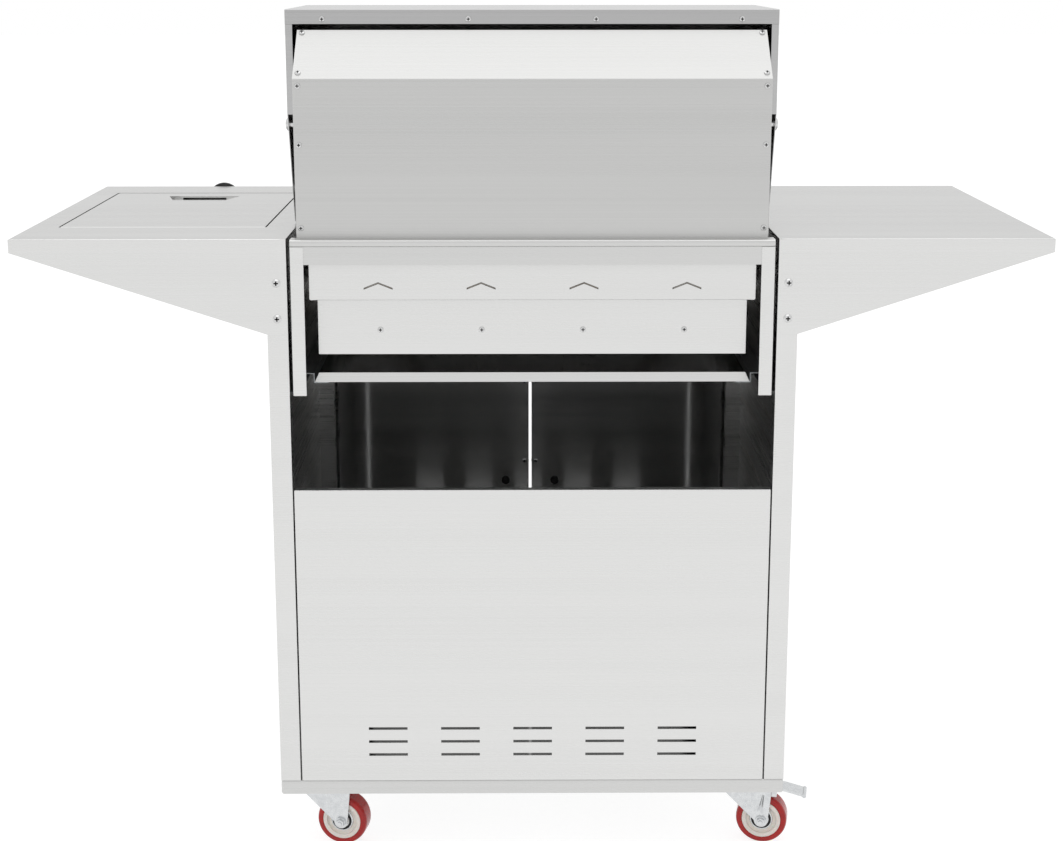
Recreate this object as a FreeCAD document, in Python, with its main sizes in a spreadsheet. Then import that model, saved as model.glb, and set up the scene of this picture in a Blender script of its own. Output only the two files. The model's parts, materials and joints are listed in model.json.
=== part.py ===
import FreeCAD, Part
import os

import Sketcher

os.makedirs("parts", exist_ok=True)
doc = FreeCAD.newDocument("GasGrill")

# Driving dimensions in millimetres and degrees.
# Heights are above the floor, depths are measured forward from the rear face of the legs.
DIMENSIONS = {
    # General
    "overall_width": 1430,
    "rear_face": 324.15,
    "sheet": 1.2,
    "pin_clearance": 0.06,
    "running_gap": 0.3,
    # Cart
    "cart_width": 732,
    "cart_depth": 577,
    "leg_width": 29,
    "leg_lip": 20,
    "caster_headroom": 21,
    "base_height": 21,
    "base_overhang": 25,
    "base_return": 115,
    "rear_panel_height": 440,
    "rear_panel_gap": 1.5,
    "rear_panel_lip": 12,
    "vent_length": 56,
    "vent_height": 4,
    "vent_pitch_across": 104.5,
    "vent_pitch_up": 20.2,
    "vent_rise": 40.5,
    "rail_drop": 33,
    "front_rail_height": 50,
    "head_rest_width": 40,
    "head_rest_drop": 30,
    "head_rest_inset": 25,
    # Doors
    "door_bottom_gap": 5,
    "door_top_gap": 1.8,
    "door_thickness": 18,
    "door_back_gap": 4,
    "door_meeting_gap": 5,
    "door_edge_inset": 4,
    "door_pin_inset": 8,
    "door_pin_radius": 4,
    "door_pin_reach": 11,
    "door_handle_length": 176,
    "door_handle_drop": 158.5,
    "door_handle_pitch": 143,
    "door_handle_edge": 7,
    "door_handle_radius": 5.5,
    "door_post_radius": 4,
    "door_handle_standoff": 34,
    # Side shelves
    "shelf_height": 914,
    "shelf_edge": 19,
    "apron_drop": 133,
    "apron_corner": 8,
    "bolt_drop": 61,
    "bolt_pitch": 50,
    "bolt_head_radius": 6,
    "bolt_head_height": 3,
    "bolt_crown_radius": 3.6,
    "bolt_rim_height": 1,
    # Side burner
    "lid_margin_inner": 15,
    "lid_margin_outer": 42.5,
    "lid_depth": 375,
    "lid_rear": 113,
    "lid_gap": 2.5,
    "lid_flange": 12,
    "lid_pin_inset": 8,
    "lid_pin_drop": 6,
    "lid_pin_radius": 2.5,
    "lid_pin_length": 9,
    "pull_front_width": 113,
    "pull_rear_width": 84,
    "pull_depth": 49,
    "pull_inset": 38,
    "pull_well": 5.5,
    "pull_slot_width": 70,
    "pull_slot_height": 3,
    "bowl_depth": 28,
    "bowl_rim": 10,
    "bowl_wall_gap": 1.3,
    "side_burner_back": 187,
    "side_burner_radius": 45,
    "side_burner_height": 10,
    "side_burner_neck_radius": 15,
    "side_venturi_radius": 9,
    "side_venturi_drop": 14,
    "side_grate_height": 6,
    "side_grate_margin": 25.75,
    "side_grate_depth": 200,
    "side_grate_pitch": 40,
    "side_grate_bar": 6,
    "side_grate_rib": 3,
    "side_grate_rib_pitch": 37,
    "side_knob_offset": 8.75,
    "side_knob_drop": 22,
    # Head
    "head_gap": 4,
    "head_height": 209.5,
    "head_drop": 11.5,
    "post_width": 19,
    "post_recess": 2,
    "rear_rail_height": 25,
    "trim_inset": 1,
    "trim_height": 10,
    "back_inset": 8,
    "back_recess": 20,
    "back_height": 216.5,
    "back_slant_rise": 63,
    "back_slant": 48,
    "back_cheek": 110,
    # Firebox and burners
    "firebox_rim_width": 31.8,
    "firebox_rise": 49,
    "firebox_rear": 50,
    "firebox_front_inset": 67,
    "baffle_inset": 24,
    "firebox_wall_height": 83,
    "baffle_height": 55,
    "baffle_ledge": 14,
    "chevron_lift": 19,
    "chevron_width": 40,
    "chevron_rise": 8,
    "chevron_slot": 2.4,
    "firebox_rim_drop": 2.5,
    "burner_pitch": 142.5,
    "burner_rise": 35,
    "burner_radius": 16,
    "burner_wall": 1,
    "burner_reach": 36,
    "tamer_width": 110,
    "tongue_clearance": 1,
    "grate_rod_radius": 3.5,
    "grate_rod_pitch": 18.5,
    "grate_cross_inset": 20,
    "grate_gap": 4,
    "rack_rise": 172.5,
    "rack_rear": 150,
    "rack_depth": 140,
    "rack_rod_radius": 3,
    "rack_rod_pitch": 45,
    # Controls and gas
    "panel_overlap": 1,
    "panel_overhang": 43,
    "panel_rise": 49,
    "panel_rear_gap": 1,
    "panel_return": 20,
    "panel_corner": 12,
    "knob_rise": 53,
    "knob_radius": 27,
    "knob_depth": 26,
    "knob_skirt_height": 5,
    "knob_grip_height": 8.5,
    "knob_grip_radius": 22,
    "knob_tip_radius": 20.5,
    "knob_blade_width": 12,
    "knob_blade_height": 13,
    "knob_blade_reach": 19.5,
    "knob_gap": 3.5,
    "knob_travel": 3,
    "stem_radius": 4,
    "stem_length": 21.2,
    "stem_hole_radius": 10,
    "bezel_radius": 33,
    "bezel_height": 3,
    "side_bezel_radius": 20,
    "valve_width": 26,
    "valve_length": 60,
    "valve_drop": 7,
    "valve_height": 48,
    "nozzle_radius": 5,
    "nozzle_length": 19,
    "manifold_rise": 20,
    "manifold_inset": 40,
    "manifold_radius": 10,
    "manifold_overhang": 25,
    "manifold_neck_radius": 7,
    "inlet_radius": 8,
    "inlet_length": 22,
    "inlet_collar_radius": 13,
    "inlet_collar_length": 12,
    # Drip tray
    "tray_rise": 7,
    "tray_inset": 24,
    "tray_rear": 60,
    "tray_ledge": 48,
    "tray_side_ledge": 54,
    "tray_well_depth": 32,
    "tray_well_wall": 2.4,
    "tray_well_inset": 37,
    "tray_side_slope": 100,
    "tray_rear_slope": 97,
    "tray_front_slope": 100,
    "tray_flange_height": 13,
    "tray_flange_taper": 6,
    "tray_fascia_setback": 0.2,
    "tray_fascia_inset": 1,
    "tray_fascia_gap": 3,
    "tray_lip_reach": 13,
    "runner_gap": 0.6,
    "runner_flange": 20,
    "runner_height": 14.4,
    "runner_inset": 17,
    # Hood
    "hood_overlap": 9.5,
    "hood_rise": 28,
    "hood_rear": 95,
    "hood_band": 20,
    "hood_flange": 10,
    "hood_notch_rise": 15,
    "hood_notch_depth": 148,
    "hood_front_inset": 29,
    "hood_front_lean": 8,
    "hood_corner_radius": 170,
    "hood_gap": 3,
    "hood_pin_depth": 115,
    "hood_pin_drop": 69,
    "hood_pin_radius": 5,
    "handle_rise": 68,
    "handle_inset": 77.5,
    "handle_post_inset": 30,
    "handle_radius": 12.5,
    "handle_post_radius": 9,
    "handle_standoff": 60,
    "gauge_rise": 50,
    "gauge_radius": 32,
    "gauge_depth": 9,
    "gauge_rim": 5,
    "gauge_dial_recess": 3,
    # Casters
    "caster_inset_across": 55,
    "caster_inset_depth": 52,
    "caster_trail": 32,
    "caster_yaw": 12,
    "caster_plate_width": 72,
    "caster_plate_depth": 64,
    "caster_plate_thickness": 2.5,
    "raceway_radius": 22,
    "raceway_height": 7.5,
    "king_pin_radius": 6,
    "king_pin_head_radius": 9,
    "king_pin_head_height": 3,
    "fork_sheet": 2.5,
    "fork_inner_width": 34,
    "fork_front": 24,
    "fork_rear": 46,
    "fork_crown_rear": 22,
    "fork_shoulder": 5,
    "fork_foot_radius": 10,
    "wheel_radius": 37.5,
    "wheel_width": 30,
    "tread_thickness": 9,
    "tread_crown": 2,
    "tread_shoulder": 4,
    "hub_boss_radius": 10,
    "hub_web": 22,
    "hub_rim": 6,
    "axle_radius": 5,
    "axle_head_radius": 8,
    "axle_head_height": 3,
    "pedal_pin_radius": 2.5,
    "pedal_pin_back": 36,
    "pedal_pin_drop": 4.7,
    "pedal_boss_radius": 4.5,
    "pedal_width": 27,
    "pedal_reach": 97,
    "pedal_bend": 64,
    "pedal_bend_rise": 7,
    "pedal_tip_rise": 0.5,
    "pedal_thickness": 3.2,
    "pedal_lip_radius": 3,
    "shoe_back": 50,
    "shoe_length": 8,
    "shoe_drop": 0.5,
}

VENT_COLUMNS = 5
VENT_ROWS = 3
BURNERS = 4
GRATE_SECTIONS = 2
SIDE_GRATE_BARS = 5
LEFT = -1
RIGHT = 1


class Size:
    """A dimension as an expression over the sheet, with the value that it has now."""

    def __init__(self, text, value):
        self.text = text
        self.value = value

    def __add__(self, other):
        other = as_size(other)
        return Size(f"({self.text} + {other.text})", self.value + other.value)

    def __sub__(self, other):
        other = as_size(other)
        return Size(f"({self.text} - {other.text})", self.value - other.value)

    def __mul__(self, other):
        other = as_size(other)
        return Size(f"({self.text} * {other.text})", self.value * other.value)

    def __truediv__(self, other):
        other = as_size(other)
        return Size(f"({self.text} / {other.text})", self.value / other.value)

    def __neg__(self):
        return Size(f"(0 - {self.text})", -self.value)

    def __radd__(self, other):
        return as_size(other) + self

    def __rsub__(self, other):
        return as_size(other) - self

    def __rmul__(self, other):
        return as_size(other) * self


def as_size(number):
    """A plain number as a Size."""
    if isinstance(number, Size):
        return number
    return Size(f"({float(number)})", float(number))


def of_angle(function, angle):
    """A trigonometric function of an angle in degrees, such as tan."""
    text = f"{function}({angle.text})"
    return Size(text, float(sheet.evalExpression(text)))


def make_sheet():
    """The sheet of driving dimensions, each cell with its alias."""
    cells = doc.addObject("Spreadsheet::Sheet", "Dims")
    for row, (alias, value) in enumerate(DIMENSIONS.items(), start=1):
        cells.set(f"A{row}", alias)
        cells.set(f"B{row}", str(value))
        cells.setAlias(f"B{row}", alias)
    doc.recompute()
    return cells


class Dimensions:
    """The sheet's cells by name, as Size values."""

    def __getattr__(self, alias):
        return Size(f"Dims.{alias}", float(DIMENSIONS[alias]))


sheet = make_sheet()
d = Dimensions()
nodes = {}


def polygon(*corners):
    """A closed outline of straight lines, with both places of each corner bound to the sheet."""
    corners = [(as_size(across), as_size(up)) for across, up in corners]

    def draw(sketch):
        first = sketch.GeometryCount
        count = len(corners)
        points = [FreeCAD.Vector(across.value, up.value, 0) for across, up in corners]
        for step in range(count):
            sketch.addGeometry(Part.LineSegment(points[step], points[(step + 1) % count]), False)
        for step in range(count):
            following = first + (step + 1) % count
            sketch.addConstraint(Sketcher.Constraint("Coincident", first + step, 2, following, 1))
        for step, corner in enumerate(corners):
            bind_point(sketch, first + step, 1, corner)

    return draw


def bind_point(sketch, geometry, position, place):
    """Hold one point of a sketch at its two distances from the origin."""
    for direction, size in zip(("DistanceX", "DistanceY"), place):
        constraint = Sketcher.Constraint(direction, -1, 1, geometry, position, size.value)
        index = sketch.addConstraint(constraint)
        sketch.setExpression(f"Constraints[{index}]", size.text)


def rectangle(left, right, low, high):
    """A rectangle between two places across and two places up."""
    return polygon((left, low), (right, low), (right, high), (left, high))


def circle(across, up, radius):
    """A circle with its centre and radius bound to the sheet."""
    across = as_size(across)
    up = as_size(up)
    radius = as_size(radius)

    def draw(sketch):
        centre = FreeCAD.Vector(across.value, up.value, 0)
        shape = Part.Circle(centre, FreeCAD.Vector(0, 0, 1), radius.value)
        index = sketch.addGeometry(shape, False)
        bound = sketch.addConstraint(Sketcher.Constraint("Radius", index, radius.value))
        sketch.setExpression(f"Constraints[{bound}]", radius.text)
        bind_point(sketch, index, 3, (across, up))

    return draw


class Piece:
    """A body made of outlines drawn square to an axis and carried between two places on it."""

    def __init__(self, name):
        self.body = doc.addObject("PartDesign::Body", name)

    def sketch(self, plane, outlines, offset):
        """Outlines on one of the body's origin planes, moved along the plane's own normal."""
        support = next(item for item in self.body.Origin.OriginFeatures if item.Role == plane + "_Plane")
        sketch = self.body.newObject("Sketcher::SketchObject", "Outline")
        sketch.AttachmentSupport = (support, [""])
        sketch.MapMode = "FlatFace"
        sketch.setExpression("AttachmentOffset.Base.z", as_size(offset).text)
        for draw in outlines:
            draw(sketch)
        return sketch

    def add(self, plane, outlines, start, end):
        """Material between two places along the axis square to the plane."""
        start = as_size(start)
        end = as_size(end)
        offset = -end if plane == "XZ" else start
        feature = self.body.newObject("PartDesign::Pad", "Pad")
        return self.extend(feature, self.sketch(plane, outlines, offset), end - start)

    def cut(self, plane, outlines, start, end):
        """A hollow between two places along the axis square to the plane."""
        start = as_size(start)
        end = as_size(end)
        offset = -start if plane == "XZ" else end
        feature = self.body.newObject("PartDesign::Pocket", "Pocket")
        return self.extend(feature, self.sketch(plane, outlines, offset), end - start)

    def extend(self, feature, sketch, length):
        feature.Profile = sketch
        feature.setExpression("Length", length.text)
        return self

    def loft(self, kind, first_outline, first_height, second_outline, second_height):
        """Material or a hollow that runs straight from one level outline to another."""
        first = self.sketch("XY", [first_outline], first_height)
        second = self.sketch("XY", [second_outline], second_height)
        feature = self.body.newObject(kind, "Loft")
        feature.Profile = first
        feature.Sections = [second]
        feature.Ruled = True
        return self

    def turn(self, outlines):
        """A solid of revolution about Z from outlines of radius across and height up."""
        sketch = self.sketch("XZ", outlines, 0)
        feature = self.body.newObject("PartDesign::Revolution", "Revolution")
        feature.Profile = sketch
        feature.ReferenceAxis = (sketch, ["V_Axis"])
        feature.Angle = 360
        return self

    def round_edges(self, radius, wanted):
        """A fillet on the edges along X that pass through one of the wanted places (Y, Z)."""
        doc.recompute()
        tip = self.body.Tip
        names = []
        for index, edge in enumerate(tip.Shape.Edges, start=1):
            box = edge.BoundBox
            if box.YLength > 1e-6 or box.ZLength > 1e-6:
                continue
            for y, z in wanted:
                if abs(box.YMin - y.value) < 1e-6 and abs(box.ZMin - z.value) < 1e-6:
                    names.append(f"Edge{index}")
        feature = self.body.newObject("PartDesign::Fillet", "Fillet")
        feature.Base = (tip, names)
        feature.setExpression("Radius", radius.text)
        return self

    def place(self, x, y, z, tilt=0, yaw=0):
        """Move the body, after a turn about X by the tilt and about Z by the yaw, in degrees."""
        place(self.body, x, y, z, tilt, yaw)
        return self


def place(item, x, y, z, tilt=0, yaw=0):
    """Bind an object's position, after a turn about X by the tilt and about Z by the yaw, in degrees."""
    about_x = FreeCAD.Rotation(FreeCAD.Vector(1, 0, 0), as_size(tilt).value)
    about_z = FreeCAD.Rotation(FreeCAD.Vector(0, 0, 1), as_size(yaw).value)
    item.Placement = FreeCAD.Placement(FreeCAD.Vector(0, 0, 0), about_z * about_x)
    for axis, size in zip("xyz", (x, y, z)):
        item.setExpression(f"Placement.Base.{axis}", as_size(size).text)


def mirrored(source):
    """The same piece on the other side of the middle plane."""
    copy = doc.addObject("Part::Mirroring", source.Name + "Mirrored")
    copy.Source = source
    copy.Normal = FreeCAD.Vector(1, 0, 0)
    return copy


def without(base, tool):
    """One piece with the room of another cut out of it."""
    cut = doc.addObject("Part::Cut", base.Name + "Cut")
    cut.Base = base
    cut.Tool = tool
    return cut


def node(label, *items):
    """Name a sub-part: one piece, or a group of separate pieces."""
    if len(items) == 1:
        item = items[0]
    else:
        item = doc.addObject("Part::Compound", "Group")
        item.Links = list(items)
    item.Label = label
    nodes[label] = item


def back(depth):
    """The Y of a depth forward of the rear face."""
    return d.rear_face - depth


# Places that several pieces share, from the floor up
base_underside = 2 * d.wheel_radius + d.caster_headroom
base_top = base_underside + d.base_height
rear_panel_top = base_top + d.rear_panel_height
head_top = d.shelf_height - d.head_drop
head_bottom = head_top - d.head_height
front_rail_top = head_bottom - d.rail_drop
shelf_underside = d.shelf_height - d.sheet
apron_bottom = d.shelf_height - d.apron_drop
trim_top = head_top + d.trim_height
panel_top = d.shelf_height
panel_bottom = head_bottom + d.panel_rise
knob_height = panel_bottom + d.knob_rise
firebox_bottom = head_bottom + d.firebox_rise
firebox_rim = head_top - d.firebox_rim_drop
baffle_bottom = firebox_bottom + d.firebox_wall_height
baffle_top = baffle_bottom + d.baffle_height
chevron_height = baffle_bottom + d.chevron_lift
burner_height = firebox_bottom + d.burner_rise
valve_bottom = burner_height - d.valve_drop
valve_top = valve_bottom + d.valve_height
manifold_height = valve_top + d.manifold_rise
rack_height = head_top + d.rack_rise
back_kink = trim_top + d.back_height
back_top = back_kink + d.back_slant_rise
hood_bottom = d.shelf_height + d.hood_gap
hood_top = back_top + d.hood_rise
hood_pin_height = back_kink - d.hood_pin_drop
hood_notch_height = hood_pin_height + d.hood_notch_rise
handle_height = hood_bottom + d.handle_rise
gauge_height = handle_height + d.gauge_rise
tray_height = head_bottom + d.tray_rise
tray_underside = tray_height - d.sheet
tray_fascia_top = panel_bottom - d.tray_fascia_gap
tray_fascia_bottom = front_rail_top + d.tray_fascia_gap
door_bottom = base_top + d.door_bottom_gap
door_top = front_rail_top - d.sheet - d.door_top_gap
door_handle_middle = door_top - d.door_handle_drop
bowl_floor = d.shelf_height - d.bowl_depth
side_venturi_height = bowl_floor - d.side_venturi_drop
side_knob_height = d.shelf_height - d.side_knob_drop
fork_top = base_underside - d.caster_plate_thickness - d.raceway_height - d.running_gap
pedal_pin_height = fork_top - d.pedal_pin_drop

# Places from the middle outwards
cart_half = d.cart_width / 2
leg_inner = cart_half - d.leg_width
shelf_outer = d.overall_width / 2
head_half = leg_inner - d.head_gap
skirt_inner = head_half - d.sheet
trim_half = head_half - d.trim_inset
back_half = head_half - d.back_inset
baffle_half = head_half - d.baffle_inset
firebox_half = skirt_inner - d.firebox_rim_width
panel_half = head_half + d.panel_overlap
hood_half = head_half + d.hood_overlap
handle_half = hood_half - d.handle_inset
handle_post_across = handle_half - d.handle_post_inset
tray_half = head_half - d.tray_inset
tray_well_half = tray_half - d.tray_side_ledge
tray_floor_half = tray_well_half - d.tray_side_slope
tray_fascia_half = head_half - d.tray_fascia_inset
door_outer = cart_half - d.door_edge_inset
door_pin_across = door_outer - d.door_pin_inset
lid_left = cart_half + d.lid_margin_inner
lid_right = shelf_outer - d.lid_margin_outer
lid_centre = (lid_left + lid_right) / 2
bowl_left = lid_left - d.lid_gap - d.bowl_wall_gap
bowl_right = lid_right + d.lid_gap + d.bowl_wall_gap
side_knob_across = lid_centre - d.side_knob_offset
burner_places = [(step - (BURNERS - 1) / 2) * d.burner_pitch for step in range(BURNERS)]

# Depths from the rear face forward
base_depth = d.cart_depth + d.base_overhang
door_back = d.cart_depth + d.door_back_gap
door_face = door_back + d.door_thickness
door_pin_depth = door_back + d.door_thickness / 2
panel_face = d.cart_depth + d.panel_overhang
panel_inner_face = panel_face - d.sheet
manifold_depth = panel_face - d.manifold_inset
firebox_front = d.cart_depth - d.firebox_front_inset
burner_mouth = firebox_front + d.burner_reach
panel_rear = firebox_front + d.panel_rear_gap
hood_front_foot = d.cart_depth - d.hood_front_inset
tray_well_rear = d.tray_rear + d.tray_ledge
tray_well_front = d.cart_depth - d.tray_well_inset
tray_floor_rear = tray_well_rear + d.tray_rear_slope
tray_floor_front = tray_well_front - d.tray_front_slope
tray_fascia_face = door_face - d.tray_fascia_setback
runner_front = d.cart_depth - d.runner_inset
lid_front = d.lid_rear + d.lid_depth
pull_front_depth = lid_front - d.pull_inset
bowl_rear = d.lid_rear - d.lid_gap - d.bowl_wall_gap
bowl_front = lid_front + d.lid_gap + d.bowl_wall_gap
side_burner_depth = d.lid_rear + d.side_burner_back


def base_pan():
    """Folded pan with wide returns underneath, to which the casters are bolted."""
    low = base_underside
    inner = cart_half - d.base_return
    wall = cart_half - d.sheet
    section = polygon(
        (-cart_half, low), (-inner, low), (-inner, low + d.sheet), (-wall, low + d.sheet),
        (-wall, base_top - d.sheet), (wall, base_top - d.sheet), (wall, low + d.sheet),
        (inner, low + d.sheet), (inner, low), (cart_half, low), (cart_half, base_top),
        (-cart_half, base_top))
    end = rectangle(-cart_half, cart_half, low, base_top)
    pan = Piece("BasePan")
    pan.add("XZ", [section], back(base_depth), back(0))
    pan.add("XZ", [end], back(d.sheet), back(0))
    pan.add("XZ", [end], back(base_depth), back(base_depth - d.sheet))
    node("base_pan", pan.body)


def cart_sides():
    """Side sheets folded into a leg at each end, with a stiffening lip."""
    rear = back(0)
    front = back(d.cart_depth)
    lip = leg_inner + d.sheet
    wall = cart_half - d.sheet
    section = polygon(
        (cart_half, rear), (leg_inner, rear), (leg_inner, rear - d.leg_lip), (lip, rear - d.leg_lip),
        (lip, rear - d.sheet), (wall, rear - d.sheet), (wall, front + d.sheet), (lip, front + d.sheet),
        (lip, front + d.leg_lip), (leg_inner, front + d.leg_lip), (leg_inner, front), (cart_half, front))
    side = Piece("CartSide")
    side.add("XY", [section], base_top, shelf_underside)
    node("cart_sides", side.body, mirrored(side.body))


def cart_rear_panel():
    """Lower rear panel with its lip and rows of vent slots."""
    half = leg_inner - d.rear_panel_gap
    inner = half - d.sheet
    top = rear_panel_top
    slots = []
    for column in range(VENT_COLUMNS):
        middle = (column - (VENT_COLUMNS - 1) / 2) * d.vent_pitch_across
        for row in range(VENT_ROWS):
            height = base_top + d.vent_rise + row * d.vent_pitch_up
            slots.append(rectangle(
                middle - d.vent_length / 2, middle + d.vent_length / 2,
                height - d.vent_height / 2, height + d.vent_height / 2))
    edge = polygon(
        (-half, base_top), (-half, top), (half, top), (half, base_top), (inner, base_top),
        (inner, top - d.sheet), (-inner, top - d.sheet), (-inner, base_top))
    panel = Piece("CartRearPanel")
    panel.add("XZ", [rectangle(-half, half, base_top, top)] + slots, back(d.sheet), back(0))
    panel.add("XZ", [edge], back(d.rear_panel_lip), back(0))
    node("cart_rear_panel", panel.body)


def cart_rails():
    """Cross rail over the doors, and the two angles inside the cart that carry the head."""
    low = front_rail_top - d.front_rail_height
    ledge = front_rail_top - d.sheet
    rail = Piece("FrontRail")
    rail.add("XZ", [rectangle(-leg_inner, leg_inner, low, front_rail_top)],
             back(d.cart_depth), back(d.cart_depth - d.sheet))
    rail.add("XZ", [rectangle(-cart_half, cart_half, ledge, front_rail_top)],
             back(door_face), back(d.cart_depth))
    wall = cart_half - d.sheet
    inner = wall - d.head_rest_width
    section = polygon(
        (inner, head_bottom), (inner, head_bottom - d.sheet),
        (wall - d.sheet, head_bottom - d.sheet), (wall - d.sheet, head_bottom - d.head_rest_drop),
        (wall, head_bottom - d.head_rest_drop), (wall, head_bottom))
    rest = Piece("HeadRest")
    rest.add("XZ", [section], back(d.cart_depth - d.head_rest_inset), back(d.head_rest_inset))
    node("cart_rails", rail.body, rest.body, mirrored(rest.body))


def hinge_pins():
    """Pivot pins of the doors, the hood and the side burner lid."""
    door_y = back(door_pin_depth)
    door_circle = circle(door_pin_across, door_y, d.door_pin_radius)
    low = Piece("DoorPinLow")
    low.add("XY", [door_circle], base_top, base_top + d.door_pin_reach)
    high = Piece("DoorPinHigh")
    ledge = front_rail_top - d.sheet
    high.add("XY", [door_circle], ledge - d.door_pin_reach, ledge)
    hood = Piece("HoodPin")
    hood.add("YZ", [circle(back(d.hood_pin_depth), hood_pin_height, d.hood_pin_radius)],
             back_half, hood_half)
    lid_circle = circle(back(d.lid_rear + d.lid_pin_inset), d.shelf_height - d.lid_pin_drop,
                        d.lid_pin_radius)
    lid_near = Piece("LidPinNear")
    lid_near.add("YZ", [lid_circle], bowl_left, bowl_left + d.lid_pin_length)
    lid_far = Piece("LidPinFar")
    lid_far.add("YZ", [lid_circle], bowl_right - d.lid_pin_length, bowl_right)
    pairs = [low.body, high.body, hood.body]
    copies = [mirrored(pin) for pin in pairs]
    node("hinge_pins", *pairs, *copies, lid_near.body, lid_far.body)


def shelf(name, side):
    """Folded shelf top with a narrow outer edge and tapered aprons that lap the legs."""
    inner = side * leg_inner
    outer = side * shelf_outer
    apron = polygon(
        (inner, d.shelf_height), (inner, apron_bottom + d.apron_corner),
        (inner + side * d.apron_corner, apron_bottom), (side * cart_half, apron_bottom),
        (outer, d.shelf_height - d.shelf_edge), (outer, d.shelf_height))
    left, right = sorted((inner, outer), key=lambda place: place.value)
    edge_left, edge_right = sorted((outer, outer - side * d.sheet), key=lambda place: place.value)
    rear = back(-d.sheet)
    front = back(d.cart_depth + d.sheet)
    top = Piece(name)
    top.add("XY", [rectangle(left, right, front, rear)], shelf_underside, d.shelf_height)
    top.add("XZ", [apron], back(0), rear)
    top.add("XZ", [apron], front, back(d.cart_depth))
    top.add("YZ", [rectangle(front, rear, d.shelf_height - d.shelf_edge, d.shelf_height)],
            edge_left, edge_right)
    return top


def side_shelves():
    plain = shelf("PlainShelf", LEFT)
    node("plain_shelf", plain.body)
    burner = shelf("BurnerShelf", RIGHT)
    opening = rectangle(
        lid_left - d.lid_gap, lid_right + d.lid_gap,
        back(lid_front + d.lid_gap), back(d.lid_rear - d.lid_gap))
    burner.cut("XY", [opening], shelf_underside, d.shelf_height)
    hole = circle(side_knob_across, side_knob_height, d.stem_hole_radius)
    burner.cut("XZ", [hole], back(d.cart_depth + d.sheet), back(d.cart_depth))
    node("burner_shelf", burner.body)


def shelf_bolts():
    """Button-head bolts that hold the aprons to the legs."""
    bolts = []
    across = cart_half - d.leg_width / 2
    profile = polygon(
        (0, 0), (d.bolt_head_radius, 0), (d.bolt_head_radius, d.bolt_rim_height),
        (d.bolt_crown_radius, d.bolt_head_height), (0, d.bolt_head_height))
    for side in (LEFT, RIGHT):
        for step in range(2):
            height = d.shelf_height - d.bolt_drop - step * d.bolt_pitch
            front = Piece("FrontBolt").turn([profile])
            front.place(side * across, back(d.cart_depth + d.sheet), height, 90)
            rear = Piece("RearBolt").turn([profile])
            rear.place(side * across, back(-d.sheet), height, -90)
            bolts += [front.body, rear.body]
    node("shelf_bolts", *bolts)


def side_burner():
    """Bowl hung under the shelf, cast burner with its venturi, and a bar grate."""
    rim_low = shelf_underside - d.sheet
    underside = bowl_floor - d.sheet
    bowl = Piece("Bowl")
    outer = rectangle(bowl_left - d.sheet, bowl_right + d.sheet,
                      back(bowl_front + d.sheet), back(bowl_rear - d.sheet))
    bowl.add("XY", [outer], underside, shelf_underside)
    bowl.add("XY", [rectangle(bowl_left - d.bowl_rim, bowl_right + d.bowl_rim,
                              back(bowl_front + d.bowl_rim), back(bowl_rear - d.bowl_rim))],
             rim_low, shelf_underside)
    bowl.cut("XY", [rectangle(bowl_left, bowl_right, back(bowl_front), back(bowl_rear))],
             bowl_floor, shelf_underside)
    burner_y = back(side_burner_depth)
    neck = d.side_burner_neck_radius
    bowl.cut("XY", [circle(lid_centre, burner_y, neck + d.running_gap)], underside, bowl_floor)
    node("side_burner_bowl", bowl.body)

    head = Piece("SideBurner")
    cap_top = bowl_floor + d.side_burner_height
    head.add("XY", [circle(lid_centre, burner_y, d.side_burner_radius)], bowl_floor, cap_top)
    head.add("XY", [circle(lid_centre, burner_y, neck)], side_venturi_height, bowl_floor)
    venturi_mouth = d.cart_depth - d.valve_length / 2 - d.nozzle_length / 2
    head.add("XZ", [circle(lid_centre, side_venturi_height, d.side_venturi_radius)],
             back(venturi_mouth), burner_y)
    bore = d.side_venturi_radius - d.burner_wall
    head.cut("XZ", [circle(lid_centre, side_venturi_height, bore)], back(venturi_mouth), burner_y)
    node("side_burner_head", head.body)

    grate = Piece("SideGrate")
    grate_low = cap_top + d.running_gap
    grate_high = grate_low + d.side_grate_height
    half = (lid_right - lid_left) / 2 - d.side_grate_margin
    reach = d.side_grate_depth / 2
    rib = d.side_grate_rib
    for step in range(SIDE_GRATE_BARS):
        middle = burner_y + (step - (SIDE_GRATE_BARS - 1) / 2) * d.side_grate_pitch
        bar = rectangle(lid_centre - half, lid_centre + half,
                        middle - d.side_grate_bar / 2, middle + d.side_grate_bar / 2)
        grate.add("XY", [bar], grate_low, grate_high)
    inner = d.side_grate_rib_pitch / 2
    for across in (rib / 2 - half, -inner, inner, half - rib / 2):
        middle = lid_centre + across
        outline = rectangle(middle - rib / 2, middle + rib / 2, burner_y - reach, burner_y + reach)
        grate.add("XY", [outline], grate_low, grate_high)
    for left in (lid_centre - half, lid_centre + half - rib):
        for front in (burner_y - reach, burner_y + reach - rib):
            grate.add("XY", [rectangle(left, left + rib, front, front + rib)], bowl_floor, grate_low)
    node("side_burner_grate", grate.body)


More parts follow.
